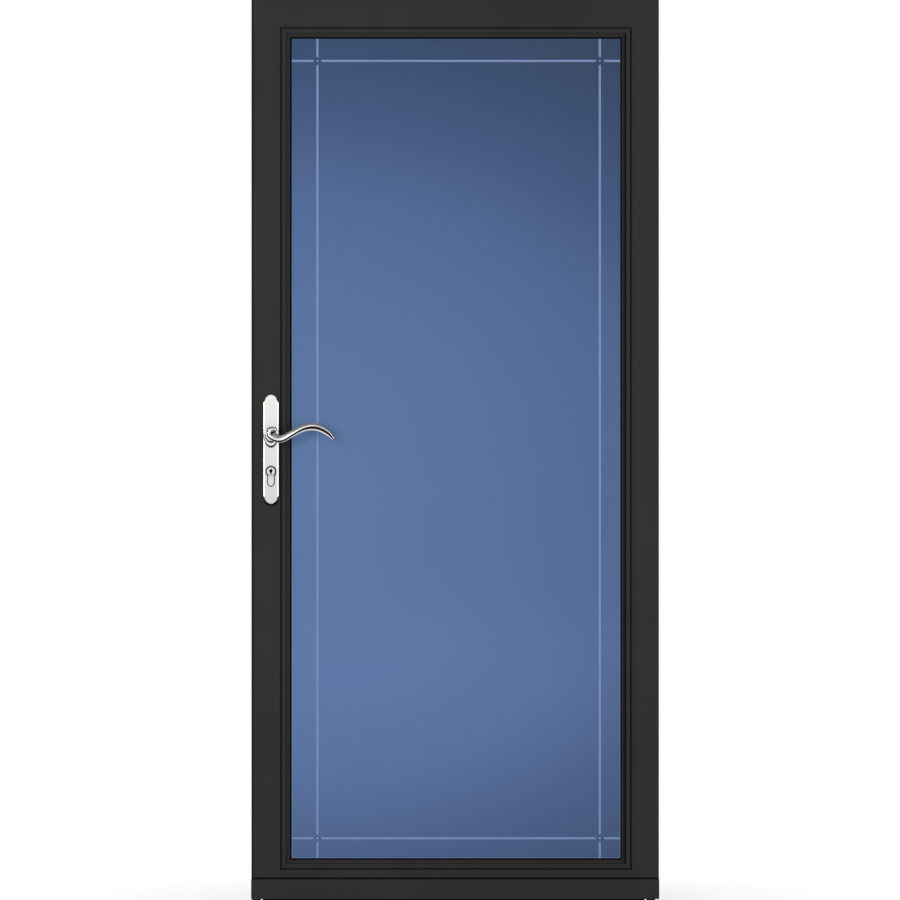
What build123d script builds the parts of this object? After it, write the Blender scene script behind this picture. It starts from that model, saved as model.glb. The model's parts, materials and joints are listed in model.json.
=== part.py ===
from build123d import *
import math
import os

# Aluminium storm door with full-view glass, hung in its slim surface frame.
# Millimetres, +Z up. Seen from outside, +X is to the right and +Y goes into the house.
# The origin is on the wall side of the hinge rail's flange, halfway across it, at the sill.

# Frame of three rails
flange_width = 16.0
flange_thickness = 1.6
web_depth = 26.0
web_return = 3.0
edge_gap = 8.0
header_flange_height = 34.0
drip_clearance = 6.0
drip_fall = 3.0
drip_reach = 22.0
drip_bead = 1.5
frame_screw_radius = 2.25
frame_screw_inset = 5.4
frame_screw_count = 6
frame_screw_end = 120.0

# Full-length hinge
barrel_radius = 3.6
pin_radius = 1.6
pin_running_gap = 0.05
barrel_sides = 12
barrel_side_gap = 0.6
barrel_cover = 0.2
barrel_front_gap = 0.5
hinge_strip = 1.5
strip_margin = 1.0
knuckle_count = 21
knuckle_gap = 0.5
knuckle_cutback = 0.4
hinge_end_margin = 1.0

# Leaf
leaf_width = 914.4
leaf_top = 2032.0
leaf_depth = 32.0
lip_thickness = 2.0
lip_edge_radius = 6.0
latch_lip = 25.0
top_lip = 25.0
latch_face = 66.4
hinge_face = 62.6
top_face = 65.3
bottom_face = 64.5
wall = 1.5
groove_width = 4.0
groove_depth = 4.0
shelf_width = 4.0
face_round = 0.8

# Glazing
moulding_width = 18.5
moulding_depth = 10.0
ridge_width = 8.8
bead_drop = 5.2
cove_width = 5.5
cove_roundness = 1.15  # radius of the cove over its width
bead_roundness = 1.6  # radius of the bead over half its width
moulding_wall = 1.2
gasket_squeeze = 2.0
gasket_lip = 3.0
gasket_lip_height = 3.0
gasket_edge_width = 1.3
gasket_cover = 9.5
glass_thickness = 4.0
glass_edge_cover = 13.5
retainer_slope = 6.0
ogee_roundness = 3.0  # radius of the ogee over its width

# Lines ground into the glass, measured from the edges of the daylight opening
line_width = 4.8
line_depth = 0.9
line_left = 57.9
line_right = 46.2
line_top = 49.9
line_bottom = 44.8
line_stop = 9.0
dot_radius = 2.6

# Bottom expander and sweep
expander_bottom = 12.0
expander_height = 44.1
expander_inside_height = 38.0
expander_wall = 1.5
expander_proud = 0.7
expander_slot_width = 5.0
expander_slot_height = 14.0
expander_slot_count = 3
expander_slot_inset = 90.0
expander_seal_height = 3.9
expander_seal_thickness = 1.2
rail_above_expander = 2.8
sweep_width = 22.0
sweep_base = 2.0
sweep_fin = 1.4
sweep_fin_count = 3
sweep_floor_gap = 2.0

# Lock and handles
hub_from_edge = 44.0
hub_height = 1057.0
plate_thickness = 4.5
plate_chamfer = 1.2
plate_half_width = 17.6
plate_above_hub = 87.0
plate_below_hub = 159.3
ear_half_width = 18.3
ear_drop = 18.6
ear_length = 4.0
arch_half_width = 14.1
arch_drop = 12.3
arch_radius = 16.7
notch_radius = 7.9
handle_screw_radius = 2.2
handle_sink_radius = 4.2
handle_sink_depth = 2.0
handle_screw_from_end = 16.0
rose_radius = 13.2
rose_step = 2.2
rose_height = 3.0
neck_radius = 8.0
neck_seat = 2.5
spindle_side = 7.0
spindle_gap = 0.3
lever_plane = 36.0
cylinder_drop = 85.5
cylinder_radius = 10.4
cylinder_lobe = 6.4
cylinder_lobe_drop = 25.8
cylinder_proud = 3.0
cylinder_inside_proud = 1.5
cylinder_cutout_gap = 0.6
plug_radius = 7.6
plug_running_gap = 0.05
plug_depth = 14.0
keyhole_radius = 3.3
keyhole_slit = 1.8
keyhole_length = 8.0
keyhole_depth = 3.5
keyhole_lift = 1.5
keyhole_margin = 1.0
case_wall_gap = 0.5
case_width = 34.0
case_above_hub = 42.0
case_below_cylinder = 44.0
faceplate_thickness = 1.5
faceplate_width = 18.0
faceplate_corner = 4.5
faceplate_margin = 12.0
bolt_length = 12.0
bolt_side_gap = 0.3
latch_bolt_height = 14.0
latch_bolt_width = 9.0
latch_bolt_nose = 2.0
deadbolt_height = 20.0
deadbolt_width = 9.0
deadbolt_drop = 52.0
bolt_screw_radius = 2.0
turn_boss_radius = 8.0
turn_boss_height = 5.0
turn_wing_length = 30.0
turn_wing_height = 12.0
turn_wing_width = 9.0
turn_wing_corner = 2.4
turn_wing_chamfer = 2.2

# Small screw holes have flats, to keep the model light; those of the rails are round
small_hole_sides = 12

# Weather pile
pile_backing = 0.8
pile_backing_width = 5.0
pile_width = 3.2
pile_gap = 0.5
pile_inset = 1.0

# Places worked out from the sizes above
hinge_axis_x = flange_width / 2 + barrel_side_gap + barrel_radius
hinge_axis_y = -(flange_thickness + barrel_radius)
lip_rear = -(flange_thickness + 2 * barrel_radius)
front = lip_rear - lip_thickness
rear = front + leaf_depth
hinge_edge = hinge_axis_x + barrel_radius + barrel_cover
latch_edge = hinge_edge - leaf_width
hinge_web = -flange_width / 2
hinge_lip = hinge_edge - hinge_web + edge_gap
latch_web = latch_edge + latch_lip - edge_gap
latch_flange_edge = latch_web - flange_width
header_web = leaf_top - top_lip + edge_gap
leaf_bottom = expander_bottom + rail_above_expander
groove_left = latch_edge + latch_face
groove_right = hinge_edge - hinge_face
groove_top = leaf_top - top_face
groove_bottom = leaf_bottom + bottom_face
groove_span = groove_right - groove_left
groove_rise = groove_top - groove_bottom
shelf_edge = groove_width / 2 + shelf_width
daylight = groove_width / 2 + moulding_width + gasket_lip
glass_front = moulding_depth + gasket_squeeze
glass_rear = glass_front + glass_thickness
retainer_front = glass_rear + gasket_squeeze
hub_x = latch_edge + hub_from_edge
cylinder_height = hub_height - cylinder_drop
middle = (front + rear) / 2
cutter = 200.0
overcut = 1.0


def face_of(*points):
    return make_face(Polyline(*points, close=True))


def hollow(outline, thickness):
    return outline - offset(outline, amount=-thickness, kind=Kind.INTERSECTION)


def box_between(low, high):
    size = [high[i] - low[i] for i in range(3)]
    centre = [(high[i] + low[i]) / 2 for i in range(3)]
    return Pos(*centre) * Box(*size)


def tidy(shape):
    solids = shape.solids()
    return solids[0] if len(solids) == 1 else Compound(children=list(solids))


# A bar's section has its first axis towards the glass, counted from the groove line,
# and its second axis into the house, counted from the front face.
def side_plane(side):
    planes = {
        "left": Plane((groove_left, front, groove_bottom), x_dir=(1, 0, 0), z_dir=(0, 0, 1)),
        "right": Plane((groove_right, front, groove_top), x_dir=(-1, 0, 0), z_dir=(0, 0, -1)),
        "top": Plane((groove_left, front, groove_top), x_dir=(0, 0, -1), z_dir=(1, 0, 0)),
        "bottom": Plane((groove_right, front, groove_bottom), x_dir=(0, 0, 1), z_dir=(-1, 0, 0)),
    }
    return planes[side]


def side_length(side):
    return groove_rise if side in ("left", "right") else groove_span


def wedge(*corners):
    return extrude(Plane.XZ * face_of(*corners), amount=cutter / 2, both=True)


def bar(section, side, start=None, end=None):
    # An end without a given place is mitred at 45 degrees through the groove's corner.
    length = side_length(side)
    low = -cutter / 2 if start is None else start
    high = length + cutter / 2 if end is None else end
    solid = Pos(0, 0, low) * extrude(section, amount=high - low)
    if start is None:
        solid -= wedge((-cutter, -cutter), (cutter, -cutter), (cutter, cutter))
    if end is None:
        far = length + cutter
        solid -= wedge((-cutter, far), (cutter, far), (cutter, length - cutter))
    return side_plane(side) * solid


def tube_section(face_width, lip):
    outer = lip - face_width
    near = -groove_width / 2
    outline = face_of(
        (outer, 0), (near, 0), (near, groove_depth), (shelf_edge, groove_depth),
        (shelf_edge, leaf_depth), (outer, leaf_depth),
    )
    tube = hollow(outline, wall)
    corner = tube.vertices().filter_by(lambda v: abs(v.X - near) + abs(v.Y) < 0.001)
    return fillet(corner, face_round)


def lip_section(face_width, lip):
    # A flat lip whose free edge is rolled back to its rear face.
    sag = lip_thickness
    roll = math.sqrt(2 * lip_edge_radius * sag - sag**2)
    edge = -face_width
    root = lip - face_width + wall
    lines = [
        RadiusArc((edge, lip_thickness), (edge + roll, 0), lip_edge_radius),
        Line((edge + roll, 0), (root, 0)),
        Line((root, 0), (root, lip_thickness)),
        Line((root, lip_thickness), (edge, lip_thickness)),
    ]
    return make_face(Curve() + lines)


def square_lip_section(face_width, lip):
    return face_of(
        (-face_width, 0), (lip - face_width + wall, 0),
        (lip - face_width + wall, lip_thickness), (-face_width, lip_thickness),
    )


def small_hole(radius):
    return RegularPolygon(radius, small_hole_sides)


def latch_stile():
    section = tube_section(latch_face, latch_lip) + lip_section(latch_face, latch_lip)
    stile = bar(section, "left", start=leaf_bottom - groove_bottom)
    stile -= lock_cutouts()
    for z in handle_screws():
        hole = small_hole(handle_screw_radius)
        stile -= through_door(hole, hub_x, z, rear - wall - overcut, rear + overcut)
    return stile


def hinge_stile():
    section = tube_section(hinge_face, hinge_lip) + square_lip_section(hinge_face, hinge_lip)
    relief_width = hinge_edge - flange_width / 2
    relief = face_of(
        (-hinge_face, lip_thickness - barrel_front_gap),
        (-hinge_face + relief_width, lip_thickness - barrel_front_gap),
        (-hinge_face + relief_width, lip_thickness),
        (-hinge_face, lip_thickness),
    )
    return bar(section - relief, "right", end=groove_rise + groove_bottom - leaf_bottom)


def top_rail():
    section = tube_section(top_face, top_lip) + square_lip_section(top_face, top_lip)
    rail = bar(section, "top")
    # Square at the edges of the leaf, with only the lip going on past the stiles' tubes.
    rail &= box_between(
        (latch_edge, front, groove_top - shelf_edge), (hinge_edge, rear, leaf_top)
    )
    rail -= box_between((hinge_edge - hinge_lip, lip_rear, groove_top), (hinge_edge, rear, leaf_top))
    return rail - box_between(
        (flange_width / 2, lip_rear - barrel_front_gap, groove_top),
        (hinge_edge, lip_rear, leaf_top),
    )


def bottom_rail():
    # The tube stands between the stiles and its front wall laps over their shelves.
    near = -groove_width / 2
    outline = face_of(
        (-bottom_face, 0), (near, 0), (near, groove_depth), (shelf_edge, groove_depth),
        (shelf_edge, leaf_depth), (-bottom_face, leaf_depth),
    )
    tube = hollow(outline, wall)
    corner = tube.vertices().filter_by(lambda v: abs(v.X - near) + abs(v.Y) < 0.001)
    rail = bar(fillet(corner, face_round), "bottom", start=shelf_edge, end=groove_span - shelf_edge)
    tongue = face_of((-bottom_face, 0), (near, 0), (near, wall), (-bottom_face, wall))
    return rail + bar(tongue, "bottom", start=near, end=groove_span - near)


def moulding_section():
    # Ridge, cove and bead, stepping down from the face of the door to the glass.
    left = groove_width / 2
    ridge_end = left + ridge_width
    cove_end = ridge_end + cove_width
    right = left + moulding_width
    bead_radius = (right - cove_end) / 2 * bead_roundness
    lines = [
        Line((left, groove_depth), (left, face_round)),
        RadiusArc((left, face_round), (left + face_round, 0), face_round),
        Line((left + face_round, 0), (ridge_end, 0)),
        RadiusArc((ridge_end, 0), (cove_end, bead_drop), cove_width * cove_roundness),
        RadiusArc((cove_end, bead_drop), (right, bead_drop), bead_radius),
        Line((right, bead_drop), (right, moulding_depth)),
        Line((right, moulding_depth), (shelf_edge, moulding_depth)),
        Line((shelf_edge, moulding_depth), (shelf_edge, groove_depth)),
        Line((shelf_edge, groove_depth), (left, groove_depth)),
    ]
    return make_face(Curve() + lines)


def front_moulding(side):
    return bar(hollow(moulding_section(), moulding_wall), side)


def retainer_section():
    # Snap-in bead on the room side, with a hollow ogee towards the glass.
    right = groove_width / 2 + moulding_width
    lines = [
        Line((shelf_edge, retainer_front), (right, retainer_front)),
        Line((right, retainer_front), (right, retainer_front + retainer_slope / 2)),
        RadiusArc(
            (right, retainer_front + retainer_slope / 2),
            (right - retainer_slope, leaf_depth - 2 * wall),
            -retainer_slope * ogee_roundness,
        ),
        Line((right - retainer_slope, leaf_depth - 2 * wall), (right - retainer_slope - wall, leaf_depth)),
        Line((right - retainer_slope - wall, leaf_depth), (shelf_edge, leaf_depth)),
        Line((shelf_edge, leaf_depth), (shelf_edge, retainer_front)),
    ]
    return make_face(Curve() + lines)


def inside_retainer(side):
    return bar(hollow(retainer_section(), moulding_wall), side)


def outer_gasket():
    right = groove_width / 2 + moulding_width
    section = face_of(
        (daylight - gasket_cover, moulding_depth),
        (right, moulding_depth),
        (right, moulding_depth - gasket_lip_height),
        (right + gasket_edge_width, moulding_depth - gasket_lip_height),
        (daylight, glass_front),
        (daylight - gasket_cover, glass_front),
    )
    return ring_of(section)


def inner_gasket():
    right = groove_width / 2 + moulding_width
    section = face_of(
        (daylight - gasket_cover, glass_rear),
        (daylight, glass_rear),
        (right + gasket_edge_width, retainer_front + gasket_lip_height),
        (right, retainer_front + gasket_lip_height),
        (right, retainer_front),
        (daylight - gasket_cover, retainer_front),
    )
    return ring_of(section)


def ring_of(section):
    ring = bar(section, "left")
    for side in ("right", "top", "bottom"):
        ring += bar(section, side)
    return ring


def ground_line(a, b):
    # A V cut into the outer face of the glass, from point a to point b of that face.
    along = Vector(b[0] - a[0], 0, b[1] - a[1])
    across = face_of((-line_width / 2, 0), (line_width / 2, 0), (0, line_depth))
    plane = Plane((a[0], front + glass_front, a[1]), x_dir=along.cross(Vector(0, 1, 0)), z_dir=along)
    flip = -1 if plane.y_dir.Y < 0 else 1
    section = across if flip == 1 else mirror(across, about=Plane.XZ)
    return plane * extrude(section, amount=along.length)


def glass_pane():
    left, right = groove_left + daylight, groove_right - daylight
    low, high = groove_bottom + daylight, groove_top - daylight
    pane = box_between(
        (left - glass_edge_cover, front + glass_front, low - glass_edge_cover),
        (right + glass_edge_cover, front + glass_rear, high + glass_edge_cover),
    )
    upright_lines = [left + line_left, right - line_right]
    level_lines = [low + line_bottom, high - line_top]
    for x in upright_lines:
        stops = [low, *level_lines, high]
        for i in range(3):
            start = stops[i] + (line_stop if i > 0 else 0)
            end = stops[i + 1] - (line_stop if i < 2 else 0)
            pane -= ground_line((x, start), (x, end))
    for z in level_lines:
        stops = [left, *upright_lines, right]
        for i in range(3):
            start = stops[i] + (line_stop if i > 0 else 0)
            end = stops[i + 1] - (line_stop if i < 2 else 0)
            pane -= ground_line((start, z), (end, z))
    for x in upright_lines:
        for z in level_lines:
            dot = Pos(x, front + glass_front, z) * Rot(90, 0, 0) * Cone(0, dot_radius, 2 * line_depth)
            pane -= dot
    return pane


def bottom_expander():
    z_top = expander_bottom + expander_height
    channel_left = latch_edge + latch_lip
    channel_right = hinge_edge - hinge_lip
    front_wall = box_between(
        (latch_edge - expander_proud, front - expander_wall, expander_bottom),
        (hinge_edge + expander_proud, front, z_top),
    )
    floor = box_between(
        (channel_left, front, expander_bottom),
        (channel_right, rear + expander_wall, expander_bottom + expander_wall),
    )
    back_wall = box_between(
        (channel_left, rear, expander_bottom),
        (channel_right, rear + expander_wall, expander_bottom + expander_inside_height),
    )
    expander = front_wall + floor + back_wall
    slot = SlotOverall(expander_slot_height, expander_slot_width, rotation=90)
    for x in expander_slots():
        z = expander_bottom + expander_inside_height / 2
        expander -= through_door(slot, x, z, rear - overcut, rear + expander_wall + overcut)
    return expander


def expander_slots():
    # Upright slots in the inside wall, so that the expander can be set to the sill.
    first = latch_edge + expander_slot_inset
    span = leaf_width - 2 * expander_slot_inset
    return [first + i * span / (expander_slot_count - 1) for i in range(expander_slot_count)]


def expander_seal():
    # A vinyl strip on the expander's top edge that lies on the face of the leaf.
    low = expander_bottom + expander_height
    return box_between(
        (latch_edge, front - expander_seal_thickness, low),
        (hinge_edge, front, low + expander_seal_height),
    )


def bottom_sweep():
    left = latch_edge + latch_lip
    right = hinge_edge - hinge_lip
    base = box_between(
        (left, middle - sweep_width / 2, expander_bottom - sweep_base),
        (right, middle + sweep_width / 2, expander_bottom),
    )
    pitch = (sweep_width - sweep_fin) / (sweep_fin_count - 1)
    for i in range(sweep_fin_count):
        y = middle - sweep_width / 2 + i * pitch
        base += box_between(
            (left, y, sweep_floor_gap), (right, y + sweep_fin, expander_bottom - sweep_base)
        )
    return base


def upright_rail(web, inward, flange_end):
    # One Z bar: a flange on the wall, a web into the opening and a short return.
    far = web + inward * flange_thickness * -1
    tip = web + inward * web_return
    section = face_of(
        (flange_end, 0), (flange_end, -flange_thickness), (web, -flange_thickness),
        (web, web_depth - flange_thickness), (tip, web_depth - flange_thickness),
        (tip, web_depth), (far, web_depth), (far, 0),
    )
    return extrude(section, amount=header_web)


def screw_heights():
    span = header_web - 2 * frame_screw_end
    return [frame_screw_end + i * span / (frame_screw_count - 1) for i in range(frame_screw_count)]


def wall_hole(x, z, depth):
    return Pos(x, -depth / 2, z) * Rot(90, 0, 0) * Cylinder(frame_screw_radius, depth * 2)


def hinge_rail():
    rail = upright_rail(hinge_web, -1, flange_width / 2)
    for z in screw_heights():
        rail -= wall_hole(0, z, flange_thickness)
    return rail


def latch_screw_x():
    return latch_flange_edge + frame_screw_inset


def latch_rail():
    rail = upright_rail(latch_web, 1, latch_flange_edge)
    for z in screw_heights():
        rail -= wall_hole(latch_screw_x(), z, flange_thickness)
    return rail - strike_holes()


def header_rail():
    left, right = latch_flange_edge, flange_width / 2
    z_web = header_web
    z_top = z_web + header_flange_height
    z_drip = leaf_top + drip_clearance
    section = face_of(
        (0, z_web), (web_depth, z_web), (web_depth, z_web + flange_thickness),
        (0, z_web + flange_thickness), (0, z_top), (-flange_thickness, z_top),
        (-flange_thickness, z_drip + drip_fall + flange_thickness),
        (-drip_reach, z_drip + flange_thickness + drip_bead),
        (-drip_reach - drip_bead, z_drip + flange_thickness),
        (-drip_reach - drip_bead, z_drip),
        (-drip_reach, z_drip),
        (-flange_thickness, z_drip + drip_fall),
        (-flange_thickness, z_web),
    )
    plane = Plane((left, 0, 0), x_dir=(0, 1, 0), z_dir=(1, 0, 0))
    return plane * extrude(section, amount=right - left)


def hinge_rail_pile():
    # Pile on the web of the hinge rail, facing the side of the leaf.
    y = middle
    backing = box_between(
        (hinge_web - pile_backing, y - pile_backing_width / 2, leaf_bottom),
        (hinge_web, y + pile_backing_width / 2, header_web),
    )
    brush = box_between(
        (hinge_web - edge_gap + pile_gap, y - pile_width / 2, leaf_bottom),
        (hinge_web - pile_backing, y + pile_width / 2, header_web),
    )
    return backing + brush


def latch_rail_pile():
    # Pile on the flange of the latch rail, facing the back of the lip.
    x = latch_web - pile_inset - pile_backing_width / 2
    backing = box_between(
        (x - pile_backing_width / 2, -flange_thickness - pile_backing, leaf_bottom),
        (x + pile_backing_width / 2, -flange_thickness, header_web),
    )
    brush = box_between(
        (x - pile_width / 2, lip_rear + pile_gap, leaf_bottom),
        (x + pile_width / 2, -flange_thickness - pile_backing, header_web),
    )
    return backing + brush


def header_pile():
    z = header_web + pile_inset + pile_backing_width / 2
    backing = box_between(
        (latch_web, -flange_thickness - pile_backing, z - pile_backing_width / 2),
        (hinge_web, -flange_thickness, z + pile_backing_width / 2),
    )
    brush = box_between(
        (latch_web, lip_rear + pile_gap, z - pile_width / 2),
        (hinge_web - edge_gap, -flange_thickness - pile_backing, z + pile_width / 2),
    )
    return backing + brush


def hinge_low():
    return leaf_bottom + hinge_end_margin


def knuckle_pitch():
    return (leaf_top - hinge_end_margin - hinge_low()) / knuckle_count


def hinge_leaf(strip_low, strip_high, strip_start, first_knuckle):
    # A strip with every second knuckle; the other leaf carries the rest. The barrel
    # repeats down the whole height, so it has flats in place of a round.
    pitch = knuckle_pitch()
    cut = flange_width / 2 - knuckle_cutback
    strip = face_of(
        (strip_start, strip_low), (cut, strip_low), (cut, strip_high), (strip_start, strip_high)
    )
    tab = face_of(
        (cut, strip_low), (hinge_axis_x, strip_low), (hinge_axis_x, strip_high), (cut, strip_high)
    )
    axis = Pos(hinge_axis_x, hinge_axis_y)
    bore = pin_radius + pin_running_gap
    curl = tab + axis * RegularPolygon(barrel_radius, barrel_sides)
    curl -= axis * RegularPolygon(bore, barrel_sides, major_radius=False)
    leaf = Pos(0, 0, hinge_low()) * extrude(strip, amount=pitch * knuckle_count)
    for i in range(first_knuckle, knuckle_count, 2):
        start = hinge_low() + i * pitch + knuckle_gap / 2
        leaf += Pos(0, 0, start) * extrude(curl, amount=pitch - knuckle_gap)
    return leaf


def hinge_fixed_leaf():
    low = -flange_thickness - hinge_strip
    leaf = hinge_leaf(low, -flange_thickness, hinge_web + strip_margin, 0)
    hole = Rot(90, 0, 0) * extrude(small_hole(frame_screw_radius), amount=hinge_strip + overcut, both=True)
    for z in screw_heights():
        leaf -= Pos(0, low, z) * hole
    return leaf


def hinge_moving_leaf():
    start = hinge_web - edge_gap + strip_margin
    return hinge_leaf(lip_rear, lip_rear + hinge_strip, start, 1)


def hinge_pin():
    length = knuckle_pitch() * knuckle_count
    return Pos(hinge_axis_x, hinge_axis_y, hinge_low() + length / 2) * Cylinder(pin_radius, length)


def case_low():
    return cylinder_height - case_below_cylinder


def case_high():
    return hub_height + case_above_hub


def bolt_block(height, width, z, gap, reach):
    x = latch_edge + latch_lip - faceplate_thickness
    return box_between(
        (x - gap, middle - width / 2 - gap, z - height / 2 - gap),
        (x + reach + gap, middle + width / 2 + gap, z + height / 2 + gap),
    )


def latch_block(gap):
    return bolt_block(latch_bolt_height, latch_bolt_width, hub_height, gap, bolt_length)


def latch_bolt():
    # The nose slopes back on the side that meets the strike as the door closes.
    x = latch_edge + latch_lip - faceplate_thickness
    outer, inner = middle - latch_bolt_width / 2 + latch_bolt_nose, middle + latch_bolt_width / 2
    slope = face_of((x, outer), (x, inner), (x + inner - outer, inner))
    low = hub_height - latch_bolt_height / 2
    return latch_block(0) - Pos(0, 0, low) * extrude(slope, amount=latch_bolt_height)


def deadbolt(gap=0.0):
    z = hub_height - deadbolt_drop
    return bolt_block(deadbolt_height, deadbolt_width, z, gap, bolt_length)


def bolt_holes():
    return latch_block(bolt_side_gap) + deadbolt(bolt_side_gap)


def cylinder_outline(gap):
    # A round barrel with a narrower round-ended lobe below it.
    lobe = cylinder_lobe + gap
    barrel = Circle(cylinder_radius + gap)
    web = Pos(0, -cylinder_lobe_drop / 2) * Rectangle(2 * lobe, cylinder_lobe_drop)
    return barrel + web + Pos(0, -cylinder_lobe_drop) * Circle(lobe)


def through_door(outline, x, z, low, high):
    # The outline is seen from outside and runs from depth low to depth high.
    plane = Plane((x, low, z), x_dir=(1, 0, 0), z_dir=(0, -1, 0))
    return plane * extrude(outline, amount=-(high - low))


def lock_cutouts():
    # Through the door for the spindle and the cylinder, and in the edge for the bolts.
    low, high = front - plate_thickness - overcut, rear + plate_thickness + overcut
    spindle = through_door(Circle(spindle_hole()), hub_x, hub_height, low, high)
    barrel = through_door(cylinder_outline(cylinder_cutout_gap), hub_x, cylinder_height, low, high)
    return spindle + barrel + bolt_holes()


def spindle_hole():
    return spindle_side / math.sqrt(2) + spindle_gap


def lock_case():
    x = latch_edge + latch_lip + wall
    case = box_between(
        (x, front + wall + case_wall_gap, case_low()),
        (x + case_width, rear - wall - case_wall_gap, case_high()),
    )
    return case - lock_cutouts()


def lock_faceplate():
    x = latch_edge + latch_lip
    plate = box_between(
        (x - faceplate_thickness, middle - faceplate_width / 2, case_low() - faceplate_margin),
        (x, middle + faceplate_width / 2, case_high() + faceplate_margin),
    )
    plate = fillet(plate.edges().filter_by(Axis.X), faceplate_corner)
    plate -= bolt_holes()
    for z in faceplate_screws():
        plate -= edge_hole(x, z, faceplate_thickness + overcut)
    return plate


def faceplate_screws():
    return [case_low() - faceplate_margin / 2, case_high() + faceplate_margin / 2]


def edge_hole(x, z, reach):
    # A screw hole in the edge of the leaf or the frame, reaching as far on each side of x.
    hole = extrude(small_hole(bolt_screw_radius), amount=reach, both=True)
    return Pos(x, middle, z) * Rot(0, 90, 0) * hole


def strike_plate():
    x = latch_web
    low, high = case_low() - faceplate_margin, case_high() + faceplate_margin
    plate = box_between(
        (x, middle - faceplate_width / 2, low), (x + faceplate_thickness, middle + faceplate_width / 2, high)
    )
    plate = fillet(plate.edges().filter_by(Axis.X), faceplate_corner)
    return plate - strike_holes()


def strike_holes():
    # Pockets for the two bolts and holes for the screws, through the plate and the rail's web.
    reach = faceplate_thickness + flange_thickness + overcut
    holes = [edge_hole(latch_web, z, reach) for z in faceplate_screws()]
    for height, width, z in (
        (latch_bolt_height, latch_bolt_width, hub_height),
        (deadbolt_height, deadbolt_width, hub_height - deadbolt_drop),
    ):
        size = (2 * reach, width + 2 * bolt_side_gap, height + 2 * bolt_side_gap)
        holes.append(Pos(latch_web, middle, z) * Box(*size))
    return holes


def plate_end(apex, down):
    # One half of an end, from the point of the arch by the notch and the ear to the side.
    shoulder = (arch_half_width, apex + down * arch_drop)
    ear = (ear_half_width, apex + down * ear_drop)
    side = (plate_half_width, apex + down * (ear_drop + ear_length))
    return [
        RadiusArc((0, apex), shoulder, -down * arch_radius),
        RadiusArc(shoulder, ear, down * notch_radius),
        Line(ear, side),
    ]


def plate_outline():
    top = plate_end(plate_above_hub, -1)
    low = plate_end(-plate_below_hub, 1)
    half = Curve() + top + low + Line(top[-1] @ 1, low[-1] @ 1)
    return make_face(half + mirror(half, about=Plane.YZ))


def plate_with_rose():
    # On the outside face of the door, with a stepped rose round the hub.
    outline = plate_outline()
    proud = front - plate_thickness
    plate = through_door(outline, hub_x, hub_height, proud + plate_chamfer, front)
    inset = offset(outline, amount=-plate_chamfer, kind=Kind.INTERSECTION)
    outside = Plane((hub_x, proud + plate_chamfer, hub_height), x_dir=(1, 0, 0), z_dir=(0, -1, 0))
    plate += loft([outside * outline.face(), outside * Pos(0, 0, plate_chamfer) * inset.face()])
    for i in range(2):
        radius = rose_radius - i * rose_step
        low = proud - (i + 1) * rose_height / 2
        plate += through_door(Circle(radius), hub_x, hub_height, low, proud)
    seat = proud - rose_height + neck_seat
    bore = neck_radius + pin_running_gap
    plate -= through_door(Circle(bore), hub_x, hub_height, proud - rose_height - overcut, seat)
    return plate


def outside_plate():
    return plate_with_rose() - lock_cutouts()


def inside_plate():
    plane = Plane((0, middle, 0), z_dir=(0, 1, 0))
    plate = mirror(plate_with_rose(), about=plane) - lock_cutouts()
    face = rear + plate_thickness
    for z in handle_screws():
        plate -= through_door(small_hole(handle_screw_radius), hub_x, z, rear - overcut, face + overcut)
        sink = Cone(handle_sink_radius, handle_screw_radius, handle_sink_depth)
        plate -= Pos(hub_x, face - handle_sink_depth / 2, z) * Rot(90, 0, 0) * sink
    return plate


def handle_screws():
    # Heights of the two screws that pull the plates together from the inside.
    high = hub_height + plate_above_hub - handle_screw_from_end
    return [hub_height - plate_below_hub + handle_screw_from_end, high]


def key_cylinder():
    low = front - plate_thickness - cylinder_proud
    high = rear + plate_thickness + cylinder_inside_proud
    body = through_door(cylinder_outline(0), hub_x, cylinder_height, low, high)
    bore = Circle(plug_radius + plug_running_gap)
    return body - through_door(bore, hub_x, cylinder_height, low - overcut, low + plug_depth)


def key_plug():
    low = front - plate_thickness - cylinder_proud
    plug = through_door(Circle(plug_radius), hub_x, cylinder_height, low, low + plug_depth)
    slit = face_of(
        (-keyhole_slit, 0), (keyhole_slit, 0),
        (keyhole_slit / 2, -keyhole_length), (-keyhole_slit / 2, -keyhole_length),
    )
    hole = Circle(keyhole_radius) + slit
    hole = Pos(0, keyhole_lift) * (hole & Circle(plug_radius - keyhole_margin))
    return plug - through_door(hole, hub_x, cylinder_height, low - overcut, low + keyhole_depth)


def thumb_turn():
    low = rear + plate_thickness + cylinder_inside_proud
    neck = low + turn_boss_height
    tip = neck + turn_wing_height
    boss = through_door(Circle(turn_boss_radius), hub_x, cylinder_height, low, neck)
    wing = chamfer(Rectangle(turn_wing_width, turn_wing_length).vertices(), turn_wing_corner)
    turn = boss + through_door(wing, hub_x, cylinder_height, neck, tip)
    end = turn.faces().sort_by(Axis.Y)[-1]
    return chamfer(end.edges(), turn_wing_chamfer)


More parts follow.
